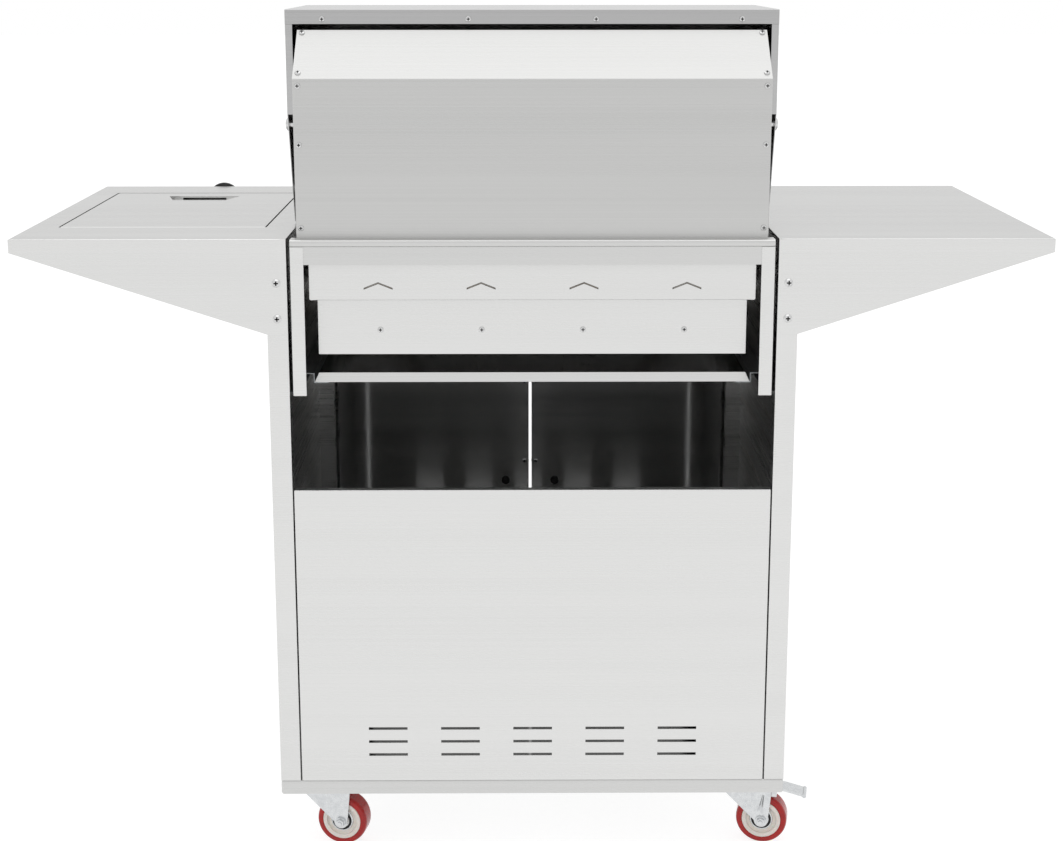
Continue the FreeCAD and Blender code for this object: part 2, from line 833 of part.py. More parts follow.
def side_burner_lid():
    """Flush lid pan with a recessed finger pull and pivot holes near its rear edge."""
    high = d.shelf_height
    low = high - d.lid_flange
    rear = back(d.lid_rear)
    front = back(lid_front)
    lid = Piece("SideLid")
    lid.add("XY", [rectangle(lid_left, lid_right, front, rear)], low, high)
    lid.cut("XY", [rectangle(lid_left + d.sheet, lid_right - d.sheet, front + d.sheet, rear - d.sheet)],
            low, high - d.sheet)
    front_half = d.pull_front_width / 2
    rear_half = d.pull_rear_width / 2
    pull_front = back(pull_front_depth)
    pull_rear = back(pull_front_depth - d.pull_depth)

    def trapezoid(margin):
        return polygon(
            (lid_centre - front_half - margin, pull_front - margin),
            (lid_centre + front_half + margin, pull_front - margin),
            (lid_centre + rear_half + margin, pull_rear + margin),
            (lid_centre - rear_half - margin, pull_rear + margin))

    well = high - d.pull_well
    lid.add("XY", [trapezoid(d.sheet)], well - d.sheet, high)
    lid.cut("XY", [trapezoid(0)], well, high)
    slot = rectangle(lid_centre - d.pull_slot_width / 2, lid_centre + d.pull_slot_width / 2,
                     well, well + d.pull_slot_height)
    lid.cut("XZ", [slot], pull_front - d.sheet, pull_front)
    hole = circle(rear - d.lid_pin_inset, high - d.lid_pin_drop, d.lid_pin_radius + d.pin_clearance)
    lid.cut("YZ", [hole], lid_left, lid_right)
    node("side_burner_lid", lid.body)


def head_sides():
    """Skirts of the head, each with a folded rear post."""
    rear = d.post_recess
    skirt = Piece("HeadSide")
    skirt.add("YZ", [rectangle(back(d.cart_depth), back(rear), head_bottom, head_top)],
              skirt_inner, head_half)
    skirt.add("XZ", [rectangle(head_half - d.post_width, head_half, head_bottom, head_top)],
              back(rear + d.sheet), back(rear))
    node("head_sides", skirt.body, mirrored(skirt.body))


def head_trim():
    """Rear rail between the skirts, and the folded lip on top of it."""
    rail_face = d.post_recess + d.sheet
    rail_inner = rail_face + d.sheet
    rail = Piece("RearRail")
    rail.add("XZ", [rectangle(-skirt_inner, skirt_inner, head_top - d.rear_rail_height, head_top)],
             back(rail_inner), back(rail_face))
    panel_inner = d.back_recess + d.sheet
    section = polygon(
        (back(0), head_top), (back(0), trim_top), (back(panel_inner), trim_top),
        (back(panel_inner), trim_top - d.sheet), (back(d.sheet), trim_top - d.sheet),
        (back(d.sheet), head_top + d.sheet), (back(rail_inner), head_top + d.sheet),
        (back(rail_inner), head_top))
    lip = Piece("TrimLip")
    lip.add("YZ", [section], -trim_half, trim_half)
    node("head_trim", rail.body, lip.body)


def head_rear_panel():
    """Upright rear panel, slanted forward above the kink, with cheeks that carry the hood."""
    half = back_half
    face = d.back_recess
    cheek_front = face + d.back_cheek
    slant_top = face + (back_top - back_kink) * of_angle("tan", d.back_slant)
    outside = polygon(
        (back(face), trim_top), (back(face), back_kink), (back(slant_top), back_top),
        (back(cheek_front), back_top), (back(cheek_front), trim_top))
    inner_face = face + d.sheet
    inner_kink = back_kink - d.sheet * of_angle("tan", d.back_slant / 2)
    inner_top = slant_top + d.sheet / of_angle("cos", d.back_slant)
    inside = polygon(
        (back(inner_face), trim_top), (back(inner_face), inner_kink), (back(inner_top), back_top),
        (back(cheek_front), back_top), (back(cheek_front), trim_top))
    panel = Piece("HeadRearPanel")
    panel.add("YZ", [outside], -half, half)
    panel.cut("YZ", [inside], d.sheet - half, half - d.sheet)
    node("head_rear_panel", panel.body)


def firebox_rear():
    """Upper baffle with chevron slots for the flame tamers, and the lower rear wall."""
    half = baffle_half
    face = d.back_recess
    inner = face + d.sheet
    ledge_end = d.firebox_rear + d.sheet
    grate_ledge = inner + d.baffle_ledge
    section = polygon(
        (back(face), baffle_bottom), (back(face), baffle_top), (back(grate_ledge), baffle_top),
        (back(grate_ledge), baffle_top - d.sheet), (back(inner), baffle_top - d.sheet),
        (back(inner), baffle_bottom + d.sheet), (back(ledge_end), baffle_bottom + d.sheet),
        (back(ledge_end), baffle_bottom))
    baffle = Piece("Baffle")
    baffle.add("YZ", [section], -half, half)
    arm = d.chevron_width / 2
    low = chevron_height - d.chevron_rise / 2
    high = chevron_height + d.chevron_rise / 2
    chevrons = [
        polygon((place - arm, low), (place, high), (place + arm, low), (place + arm, low + d.chevron_slot),
                (place, high + d.chevron_slot), (place - arm, low + d.chevron_slot))
        for place in burner_places]
    baffle.cut("XZ", chevrons, back(inner), back(face))
    wall_half = firebox_half + d.sheet
    wall = Piece("FireboxRearWall")
    wall.add("XZ", [rectangle(-wall_half, wall_half, firebox_bottom, baffle_bottom)],
             back(ledge_end), back(d.firebox_rear))
    node("firebox_rear", baffle.body, wall.body)


def firebox_walls():
    """Side walls hung from the skirts by a rim, and the front wall that the burners pass through."""
    inner = firebox_half
    front = back(firebox_front - d.sheet)
    lower_rear = back(d.firebox_rear + d.sheet)
    upper_rear = back(d.back_recess + d.sheet)
    ledge = baffle_bottom + d.sheet
    side = Piece("FireboxSide")
    side.add("YZ", [polygon(
        (front, firebox_bottom), (lower_rear, firebox_bottom), (lower_rear, ledge),
        (upper_rear, ledge), (upper_rear, firebox_rim), (front, firebox_rim))], inner, inner + d.sheet)
    side.add("XY", [rectangle(inner, skirt_inner, front, upper_rear)], firebox_rim - d.sheet, firebox_rim)
    side.cut("XZ", [rectangle(inner, inner + d.sheet, baffle_top - d.sheet, baffle_top)],
             back(d.back_recess + d.sheet + d.baffle_ledge), upper_rear)
    wall = Piece("FireboxFront")
    half = inner + d.sheet
    holes = [circle(place, burner_height, d.burner_radius + d.running_gap) for place in burner_places]
    wall.add("XZ", [rectangle(-half, half, firebox_bottom, baffle_top)] + holes,
             back(firebox_front), front)
    node("firebox_walls", side.body, mirrored(side.body), wall.body)


def main_burners():
    """Tube burners, closed at the rear wall and open at the mouth where the gas comes in."""
    burners = []
    rear = back(d.firebox_rear + d.sheet)
    mouth = back(burner_mouth)
    for place in burner_places:
        burner = Piece("Burner")
        burner.add("XZ", [circle(place, burner_height, d.burner_radius)], mouth, rear)
        burner.cut("XZ", [circle(place, burner_height, d.burner_radius - d.burner_wall)],
                   mouth, rear - d.burner_wall)
        burners.append(burner.body)
    node("main_burners", *burners)


def flame_tamers():
    """Folded roofs over the burners, with a tongue that hooks into the baffle's chevron slot."""
    tamers = []
    baffle_face = back(d.back_recess)
    rear = back(d.firebox_rear + d.sheet)
    front = back(firebox_front - d.sheet)
    slope = 2 * d.chevron_rise / d.chevron_width
    apex = chevron_height + d.chevron_rise / 2 + (d.chevron_slot + d.sheet) / 2

    def roof(place, half):
        low = apex - half * slope
        return polygon(
            (place - half, low), (place, apex), (place + half, low),
            (place + half, low - d.sheet), (place, apex - d.sheet), (place - half, low - d.sheet))

    for place in burner_places:
        tamer = Piece("FlameTamer")
        tamer.add("XZ", [roof(place, d.tamer_width / 2)], front, rear)
        tamer.add("XZ", [roof(place, d.chevron_width / 2 - d.tongue_clearance)], rear, baffle_face)
        tamers.append(tamer.body)
    node("flame_tamers", *tamers)


def cooking_grates():
    """Rod grates that lie on the baffle's ledge and on the front wall."""
    sections = []
    width = (2 * firebox_half - (GRATE_SECTIONS + 1) * d.grate_gap) / GRATE_SECTIONS
    height = baffle_top + d.grate_rod_radius
    rear = back(d.back_recess + d.sheet + d.grate_gap)
    front = back(firebox_front)
    rods = int((width.value - 2 * d.grate_rod_radius.value) // d.grate_rod_pitch.value) + 1
    for section in range(GRATE_SECTIONS):
        left = d.grate_gap - firebox_half + section * (width + d.grate_gap)
        middle = left + width / 2
        grate = Piece("Grate")
        for cross in (rear - d.grate_cross_inset, front + d.grate_cross_inset):
            grate.add("YZ", [circle(cross, height, d.grate_rod_radius)], left, left + width)
        places = [middle + (step - (rods - 1) / 2) * d.grate_rod_pitch for step in range(rods)]
        grate.add("XZ", [circle(place, height, d.grate_rod_radius) for place in places], front, rear)
        sections.append(grate.body)
    node("cooking_grates", *sections)


def warming_rack():
    """Wire rack under the hood, on four legs that stand on the firebox rims."""
    half = skirt_inner - d.firebox_rim_width / 2 + d.rack_rod_radius
    rear = back(d.rack_rear)
    front = back(d.rack_rear + d.rack_depth)
    rods = int((2 * half.value - 2 * d.rack_rod_radius.value) // d.rack_rod_pitch.value) + 1
    rack = Piece("WarmingRack")
    for along in (rear, front):
        rack.add("YZ", [circle(along, rack_height, d.rack_rod_radius)], -half, half)
    places = [(step - (rods - 1) / 2) * d.rack_rod_pitch for step in range(rods)]
    rack.add("XZ", [circle(place, rack_height, d.rack_rod_radius) for place in places], front, rear)
    legs = []
    for along in (rear, front):
        for across in (d.rack_rod_radius - half, half - d.rack_rod_radius):
            leg = Piece("RackLeg")
            leg.add("XY", [circle(across, along, d.rack_rod_radius)], firebox_rim, rack_height)
            legs.append(without(leg.body, rack.body))
    node("warming_rack", rack.body, *legs)


def control_panel():
    """Folded front panel with a rounded top edge, a rear hem on the skirts, end returns and stem holes."""
    half = panel_half
    face = back(panel_face)
    inner = back(panel_inner_face)
    rear = back(panel_rear)
    low = panel_bottom
    hem = face + d.panel_return
    section = polygon(
        (rear, panel_top), (face, panel_top), (face, low), (hem, low), (hem, low + d.sheet),
        (inner, low + d.sheet), (inner, panel_top - d.sheet), (rear - d.sheet, panel_top - d.sheet),
        (rear - d.sheet, head_top), (rear, head_top))
    panel = Piece("ControlPanel")
    panel.add("YZ", [section], -half, half)
    panel.round_edges(d.panel_corner, [(face, panel_top)])
    panel.round_edges(d.panel_corner - d.sheet, [(inner, panel_top - d.sheet)])
    cap_rear = back(d.cart_depth + d.sheet)
    cap = rectangle(inner, cap_rear, low, panel_top - d.panel_corner)
    panel.add("YZ", [cap], -half, d.sheet - half)
    panel.add("YZ", [cap], half - d.sheet, half)
    holes = [circle(place, knob_height, d.stem_hole_radius) for place in burner_places]
    panel.cut("XZ", holes, face, inner)
    node("control_panel", panel.body)


def gas_manifold():
    """Gas pipe with a neck for each valve, and the collar and spigot of its inlet."""
    y = back(manifold_depth)
    start = burner_places[0] - d.manifold_overhang
    end = burner_places[-1] + d.manifold_overhang
    collar_end = end + d.inlet_collar_length
    pipe = Piece("Manifold")
    pipe.add("YZ", [circle(y, manifold_height, d.manifold_radius)], start, end)
    for place in burner_places:
        pipe.add("XY", [circle(place, y, d.manifold_neck_radius)], valve_top, manifold_height)
    collar = Piece("InletCollar")
    collar.add("YZ", [circle(y, manifold_height, d.inlet_collar_radius)], end, collar_end)
    spigot = Piece("InletSpigot")
    spigot.add("YZ", [circle(y, manifold_height, d.inlet_radius)], collar_end, collar_end + d.inlet_length)
    node("gas_manifold", pipe.body, collar.body, spigot.body)


def gas_valves():
    """Valve bodies screwed to the panel, each with a nozzle that points into its burner."""
    valves = []
    half = d.valve_width / 2
    front = back(panel_inner_face)
    rear = front + d.valve_length
    for place in burner_places:
        valve = Piece("Valve")
        valve.add("XZ", [rectangle(place - half, place + half, valve_bottom, valve_top)], front, rear)
        valve.add("XZ", [circle(place, burner_height, d.nozzle_radius)], rear, rear + d.nozzle_length)
        valves.append(valve.body)
    front = back(d.cart_depth)
    rear = front + d.valve_length / 2
    side = Piece("SideValve")
    side.add("XZ", [rectangle(side_knob_across - half, lid_centre + half,
                              side_venturi_height - half, side_knob_height + half)], front, rear)
    nozzle = circle(lid_centre, side_venturi_height, d.nozzle_radius)
    side.add("XZ", [nozzle], rear, rear + d.nozzle_length)
    node("gas_valves", *valves, side.body)


def knobs():
    """Push-and-turn knobs with a grip blade, the stems that they slide on, and their bezels."""
    bore = d.stem_radius + d.pin_clearance
    knob_back = d.bezel_height + d.knob_gap
    stem_tip = d.stem_length + d.sheet
    bore_depth = d.stem_length - knob_back + d.knob_travel + d.running_gap
    blade_foot = d.knob_depth - d.knob_blade_height
    knob_profile = polygon(
        (0, 0), (d.knob_radius, 0), (d.knob_radius, d.knob_skirt_height),
        (d.knob_grip_radius, d.knob_grip_height), (d.knob_tip_radius, blade_foot), (0, blade_foot))
    blade_half = d.knob_blade_width / 2
    blade = rectangle(-blade_half, blade_half, -d.knob_blade_reach, d.knob_blade_reach)
    stem_profile = polygon((0, 0), (d.stem_radius, 0), (d.stem_radius, stem_tip), (0, stem_tip))

    def bezel_profile(radius):
        return polygon(
            (d.stem_hole_radius, 0), (radius, 0), (radius, d.bezel_height / 2),
            (radius - d.bezel_height, d.bezel_height), (d.stem_hole_radius, d.bezel_height))

    controls = [(f"knob_{step}", f"valve_rotor_{step}", place, knob_height, panel_face, d.bezel_radius)
                for step, place in enumerate(burner_places, start=1)]
    controls.append(("side_burner_knob", "side_valve_rotor", side_knob_across, side_knob_height,
                     d.cart_depth + d.sheet, d.side_bezel_radius))
    bezels = []
    for knob_label, stem_label, across, height, face, bezel_radius in controls:
        knob = Piece("Knob").turn([knob_profile])
        knob.add("XY", [blade], blade_foot, d.knob_depth)
        knob.cut("XY", [circle(0, 0, bore)], 0, bore_depth)
        knob.place(across, back(face + knob_back), height, 90)
        node(knob_label, knob.body)
        stem = Piece("Stem").turn([stem_profile]).place(across, back(face - d.sheet), height, 90)
        node(stem_label, stem.body)
        bezel = Piece("Bezel").turn([bezel_profile(bezel_radius)])
        bezel.place(across, back(face), height, 90)
        bezels.append(bezel.body)
    node("knob_bezels", *bezels)


def drip_tray():
    """Pull-out tray with a broad rim, a rear upstand, a well that slopes in and a folded front."""
    half = tray_half
    face = back(tray_fascia_face)
    inner = face + d.sheet
    tray = Piece("DripTray")
    tray.add("XY", [rectangle(-half, half, inner, back(d.tray_rear))], tray_underside, tray_height)
    floor = tray_height - d.tray_well_depth

    def mouth(margin):
        wide = tray_well_half + margin
        rear = tray_well_rear - margin
        return rectangle(-wide, wide, back(tray_well_front + margin), back(rear))

    def foot(margin):
        wide = tray_floor_half + margin
        return rectangle(-wide, wide, back(tray_floor_front + margin), back(tray_floor_rear - margin))

    wall = d.tray_well_wall
    tray.loft("PartDesign::AdditiveLoft", mouth(wall), tray_underside, foot(wall), floor)
    tray.loft("PartDesign::SubtractiveLoft", mouth(0), tray_height, foot(0), floor + d.sheet)
    taper = d.tray_flange_taper
    flange_top = tray_height + d.tray_flange_height
    flange = polygon((-half, tray_height), (half, tray_height), (half - taper, flange_top),
                     (taper - half, flange_top))
    tray.add("XZ", [flange], back(d.tray_rear + d.sheet), back(d.tray_rear))
    wide = tray_fascia_half
    tray.add("XZ", [rectangle(-wide, wide, tray_fascia_bottom, tray_fascia_top)], face, inner)
    lip = rectangle(-wide, wide, tray_fascia_bottom, tray_fascia_bottom + d.sheet)
    tray.add("XZ", [lip], face - d.tray_lip_reach, face)
    node("drip_tray", tray.body)


def tray_runners():
    """Folded runners on the skirts that the tray's rim slides on."""
    web = tray_half + d.runner_gap
    low = tray_underside - d.sheet
    high = low + d.runner_height
    inner = web - d.runner_flange
    runner = Piece("TrayRunner")
    runner.add("XZ", [polygon(
        (inner, low), (web + d.sheet, low), (web + d.sheet, high - d.sheet), (skirt_inner, high - d.sheet),
        (skirt_inner, high), (web, high), (web, tray_underside), (inner, tray_underside))],
        back(runner_front), back(d.tray_rear))
    node("tray_runners", runner.body, mirrored(runner.body))


def door(label, side):
    """Folded door pan that hangs on its two pins."""
    inner = side * d.door_meeting_gap / 2
    outer = side * door_outer
    left, right = sorted((inner, outer), key=lambda place: place.value)
    rear = back(door_back)
    front = back(door_face)
    panel = Piece(label.title().replace("_", ""))
    panel.add("XZ", [rectangle(left, right, door_bottom, door_top)], front, rear)
    panel.cut("XZ", [rectangle(left + d.sheet, right - d.sheet, door_bottom + d.sheet, door_top - d.sheet)],
              front + d.sheet, rear)
    hole = circle(side * door_pin_across, back(door_pin_depth), d.door_pin_radius + d.pin_clearance)
    panel.cut("XY", [hole], door_bottom, door_top)
    node(label, panel.body)


def door_handle(label, side):
    """Bar handle on two posts beside the meeting edge of its door."""
    across = side * (d.door_meeting_gap / 2 + d.door_handle_edge)
    bar_y = back(door_face + d.door_handle_standoff)
    half = d.door_handle_length / 2
    handle = Piece(label.title().replace("_", ""))
    handle.add("XY", [circle(across, bar_y, d.door_handle_radius)],
               door_handle_middle - half, door_handle_middle + half)
    for step in (-1, 1):
        height = door_handle_middle + step * d.door_handle_pitch / 2
        handle.add("XZ", [circle(across, height, d.door_post_radius)], bar_y, back(door_face))
    node(label, handle.body)


def hood_outline(inset):
    """Rear depth, front foot depth, front top depth and top height of the hood, drawn in by the inset."""
    inset = as_size(inset)
    lean = of_angle("tan", d.hood_front_lean)
    slack = inset / of_angle("cos", d.hood_front_lean)
    foot = hood_front_foot - slack
    high = hood_top - inset
    front_top = foot - (high - hood_bottom) * lean
    rear = d.hood_rear + inset
    return rear, foot, front_top, high


def hood_skin():
    """Rolled sheet from the front edge over the top to the rear band."""
    rear, foot, front_top, high = hood_outline(0)
    outer = Piece("HoodOuter")
    band = hood_top - d.hood_band
    outer.add("YZ", [polygon(
        (back(foot), hood_bottom), (back(front_top), high), (back(rear), high), (back(rear), band))],
        -hood_half, hood_half)
    outer.round_edges(d.hood_corner_radius, [(back(front_top), high)])
    rear, foot, front_top, high = hood_outline(d.sheet)
    inner = Piece("HoodInner")
    inner.add("YZ", [polygon(
        (back(foot), hood_bottom), (back(front_top), high), (back(rear), high), (back(rear), hood_bottom))],
        -hood_half, hood_half)
    inner.round_edges(d.hood_corner_radius - d.sheet, [(back(front_top), high)])
    node("hood_skin", without(outer.body, inner.body))


def hood_ends():
    """End plates inside the skin, cut away at the rear foot, each with a folded rear flange."""
    rear, foot, front_top, high = hood_outline(d.sheet)
    end = Piece("HoodEnd")
    end.add("YZ", [polygon(
        (back(foot), hood_bottom), (back(front_top), high), (back(rear), high),
        (back(rear), hood_notch_height), (back(d.hood_notch_depth), hood_bottom))],
        hood_half - d.sheet, hood_half)
    end.round_edges(d.hood_corner_radius - d.sheet, [(back(front_top), high)])
    end.add("XZ", [rectangle(hood_half - d.hood_flange, hood_half, hood_notch_height, high)],
            back(rear + d.sheet), back(rear))
    hole = circle(back(d.hood_pin_depth), hood_pin_height, d.hood_pin_radius + d.pin_clearance)
    end.cut("YZ", [hole], hood_half - d.sheet, hood_half)
    node("hood_ends", end.body, mirrored(end.body))


def hood_front_depth(height):
    """Depth of the hood's leaning front face at a height."""
    return hood_front_foot - (height - hood_bottom) * of_angle("tan", d.hood_front_lean)


def hood_handle():
    """Tube handle on two posts that stand square to the leaning front."""
    place_y = back(hood_front_depth(handle_height))
    half = handle_half
    bar = Piece("HandleBar")
    bar.add("YZ", [circle(-d.handle_standoff, 0, d.handle_radius)], -half, half)
    bar.place(0, place_y, handle_height, -d.hood_front_lean)
    posts = []
    for side in (LEFT, RIGHT):
        post = Piece("HandlePost")
        outline = circle(side * handle_post_across, 0, d.handle_post_radius)
        post.add("XZ", [outline], -d.handle_standoff, 0)
        post.place(0, place_y, handle_height, -d.hood_front_lean)
        posts.append(without(post.body, bar.body))
    node("hood_handle", bar.body, *posts)


def hood_gauge():
    """Round temperature gauge on the front of the hood: case and dial."""
    place_y = back(hood_front_depth(gauge_height))
    tilt = 90 - d.hood_front_lean
    mouth = d.gauge_radius - d.gauge_rim
    floor = d.gauge_depth - d.gauge_dial_recess
    case = Piece("GaugeCase").turn([polygon(
        (0, 0), (d.gauge_radius, 0), (d.gauge_radius, d.gauge_depth), (mouth, d.gauge_depth),
        (mouth, floor), (0, floor))])
    case.place(0, place_y, gauge_height, tilt)
    dial = Piece("GaugeDial").turn([polygon((0, floor), (mouth, floor), (mouth, floor + d.sheet),
                                            (0, floor + d.sheet))])
    dial.place(0, place_y, gauge_height, tilt)
    node("hood_gauge", case.body, dial.body)


# Each caster: its name, its side and its depth, and whether it has a brake.
CASTERS = [
    ("front_left", LEFT, base_depth - d.caster_inset_depth, True),
    ("front_right", RIGHT, base_depth - d.caster_inset_depth, False),
    ("rear_left", LEFT, d.caster_inset_depth, True),
    ("rear_right", RIGHT, d.caster_inset_depth, False),
]


def caster_place(side, depth):
    """X and Y of a caster's swivel axis."""
    return side * (cart_half - d.caster_inset_across), back(depth)


def caster_plates():
    """Bolted plates with the swivel raceway and the king pin that holds the fork."""
    plates = []
    plate_low = base_underside - d.caster_plate_thickness
    race_low = plate_low - d.raceway_height
    head_top = fork_top - d.fork_sheet - d.running_gap
    half_width = d.caster_plate_width / 2
    half_depth = d.caster_plate_depth / 2
    for name, side, depth, braked in CASTERS:
        x, y = caster_place(side, depth)
        plate = Piece("CasterPlate")
        plate.add("XY", [rectangle(x - half_width, x + half_width, y - half_depth, y + half_depth)],
                  plate_low, base_underside)
        plate.add("XY", [circle(x, y, d.raceway_radius)], race_low, plate_low)
        plate.add("XY", [circle(x, y, d.king_pin_radius)], head_top, race_low)
        plate.add("XY", [circle(x, y, d.king_pin_head_radius)], head_top - d.king_pin_head_height, head_top)
        plates.append(plate.body)
    node("caster_plates", *plates)


def yawed(piece, side, depth):
    """Set a piece that is drawn about the swivel axis at its caster, turned by the caster's yaw."""
    x, y = caster_place(side, depth)
    return piece.place(x, y, 0, 0, -d.caster_yaw).body


def caster_fork(name, side, depth, braked):
    """Swivelling fork with its axle bolt and, on a braked caster, the pedal's pin."""
    axle_x = -d.caster_trail
    inner = d.fork_inner_width / 2
    outer = inner + d.fork_sheet
    leg = polygon(
        (d.fork_front, fork_top), (d.fork_front, fork_top - d.fork_shoulder),
        (axle_x + d.fork_foot_radius, d.wheel_radius), (axle_x - d.fork_foot_radius, d.wheel_radius),
        (-d.fork_rear, pedal_pin_height - d.pedal_boss_radius), (-d.fork_rear, fork_top))
    foot = circle(axle_x, d.wheel_radius, d.fork_foot_radius)
    fork = Piece("Fork")
    fork.add("XY", [rectangle(-d.fork_crown_rear, d.fork_front, -outer, outer)],
             fork_top - d.fork_sheet, fork_top)
    for near, far in ((inner, outer), (-outer, -inner)):
        fork.add("XZ", [leg], near, far)
        fork.add("XZ", [foot], near, far)
    fork.cut("XY", [circle(0, 0, d.king_pin_radius + d.pin_clearance)], fork_top - d.fork_sheet, fork_top)
    fork.cut("XZ", [circle(axle_x, d.wheel_radius, d.axle_radius)], -outer, outer)
    axle = Piece("Axle")
    axle.add("XZ", [circle(axle_x, d.wheel_radius, d.axle_radius)], -outer, outer)
    head = circle(axle_x, d.wheel_radius, d.axle_head_radius)
    axle.add("XZ", [head], outer, outer + d.axle_head_height)
    axle.add("XZ", [head], -outer - d.axle_head_height, -outer)
    pieces = [fork, axle]
    if braked:
        pin_circle = circle(-d.pedal_pin_back, pedal_pin_height, d.pedal_pin_radius)
        fork.cut("XZ", [pin_circle], -outer, outer)
        pin = Piece("PedalPin")
        pin.add("XZ", [pin_circle], -outer, outer)
        pieces.append(pin)
    node(f"caster_fork_{name}", *[yawed(piece, side, depth) for piece in pieces])


def caster_wheel(name, side, depth):
    """Cream hub with a recessed web, and the tread moulded round it."""
    x, y = caster_place(side, depth)
    half = d.wheel_width / 2
    rim = d.wheel_radius - d.tread_thickness
    rim_inner = rim - d.hub_rim
    bore = d.axle_radius + d.pin_clearance
    boss_end = d.fork_inner_width / 2 - d.running_gap
    web = d.hub_web / 2
    hub = Piece("Hub").turn([polygon(
        (bore, -boss_end), (d.hub_boss_radius, -boss_end), (d.hub_boss_radius, -web), (rim_inner, -web),
        (rim_inner, -half), (rim, -half), (rim, half), (rim_inner, half), (rim_inner, web),
        (d.hub_boss_radius, web), (d.hub_boss_radius, boss_end), (bore, boss_end))])
    shoulder = d.wheel_radius - d.tread_crown
    flat = half - d.tread_shoulder
    tread = Piece("Tread").turn([polygon(
        (rim, -half), (shoulder, -half), (d.wheel_radius, -flat), (d.wheel_radius, flat),
        (shoulder, half), (rim, half))])
    axle_x = x - d.caster_trail * of_angle("cos", d.caster_yaw)
    axle_y = y + d.caster_trail * of_angle("sin", d.caster_yaw)
    for piece in (hub, tread):
        piece.place(axle_x, axle_y, d.wheel_radius, 90, -d.caster_yaw)
    node(f"wheel_hub_{name}", hub.body)
    node(f"wheel_tread_{name}", tread.body)


def brake_pedal(name, side, depth):
    """Foot pedal with its boss on the fork's pin, a shoe over the tread and a rolled lip."""
    half = d.pedal_width / 2
    pin_x = -d.pedal_pin_back
    pin_top = pedal_pin_height + d.pedal_boss_radius
    bend_x = -d.pedal_bend
    bend_top = pedal_pin_height + d.pedal_bend_rise
    tip_top = pedal_pin_height + d.pedal_tip_rise
    shoe_bottom = 2 * d.wheel_radius - d.shoe_drop
    shoe_rear = -d.shoe_back - d.shoe_length / 2
    lip_x = d.pedal_lip_radius - d.pedal_reach
    thick = d.pedal_thickness
    pedal = Piece("Pedal")
    outlines = [
        circle(pin_x, pedal_pin_height, d.pedal_boss_radius),
        polygon((pin_x, pin_top), (bend_x, bend_top), (lip_x, tip_top),
                (lip_x, tip_top - thick), (bend_x, bend_top - thick),
                (pin_x, pin_top - thick)),
        circle(lip_x, tip_top - thick / 2, d.pedal_lip_radius),
        rectangle(shoe_rear, shoe_rear + d.shoe_length, shoe_bottom, pin_top - thick / 2),
    ]
    for outline in outlines:
        pedal.add("XZ", [outline], -half, half)
    hole = circle(pin_x, pedal_pin_height, d.pedal_pin_radius + d.pin_clearance)
    pedal.cut("XZ", [hole], -half, half)
    node(f"brake_pedal_{name}", yawed(pedal, side, depth))


def casters():
    caster_plates()
    for name, side, depth, braked in CASTERS:
        caster_fork(name, side, depth, braked)
        caster_wheel(name, side, depth)
        if braked:
            brake_pedal(name, side, depth)


def check_model():
    """Stop if a feature failed, a cut removed nothing or a sub-part is not sound."""
    for item in doc.Objects:
        if "Invalid" in item.State or "Error" in item.State:
            raise RuntimeError(f"{item.Label} failed: {item.State}")
        if item.TypeId in ("PartDesign::Pocket", "PartDesign::SubtractiveLoft"):
            removed = item.BaseFeature.Shape.Volume - item.Shape.Volume
            if removed < 1e-3:
                raise RuntimeError(f"{item.Label} cuts nothing")
    for label, item in nodes.items():
        if item.Shape.isNull() or not item.Shape.isValid():
            raise RuntimeError(f"{label} has no sound shape")


def write_parts():
    """Write each sub-part to its own file."""
    for label, item in nodes.items():
        item.Shape.exportStep(f"parts/{label}.step")


base_pan()
cart_sides()
cart_rear_panel()
cart_rails()
hinge_pins()
side_shelves()
shelf_bolts()
side_burner()
side_burner_lid()
head_sides()
head_trim()
head_rear_panel()
firebox_rear()
firebox_walls()
main_burners()
flame_tamers()
cooking_grates()
warming_rack()
control_panel()
gas_manifold()
gas_valves()
knobs()
drip_tray()
tray_runners()
door("door_left", LEFT)
door("door_right", RIGHT)
door_handle("door_handle_left", LEFT)
door_handle("door_handle_right", RIGHT)
hood_skin()
hood_ends()
hood_handle()
hood_gauge()
casters()
doc.recompute()
check_model()
write_parts()
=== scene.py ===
import json
import math

import bpy
from mathutils import Matrix, Vector

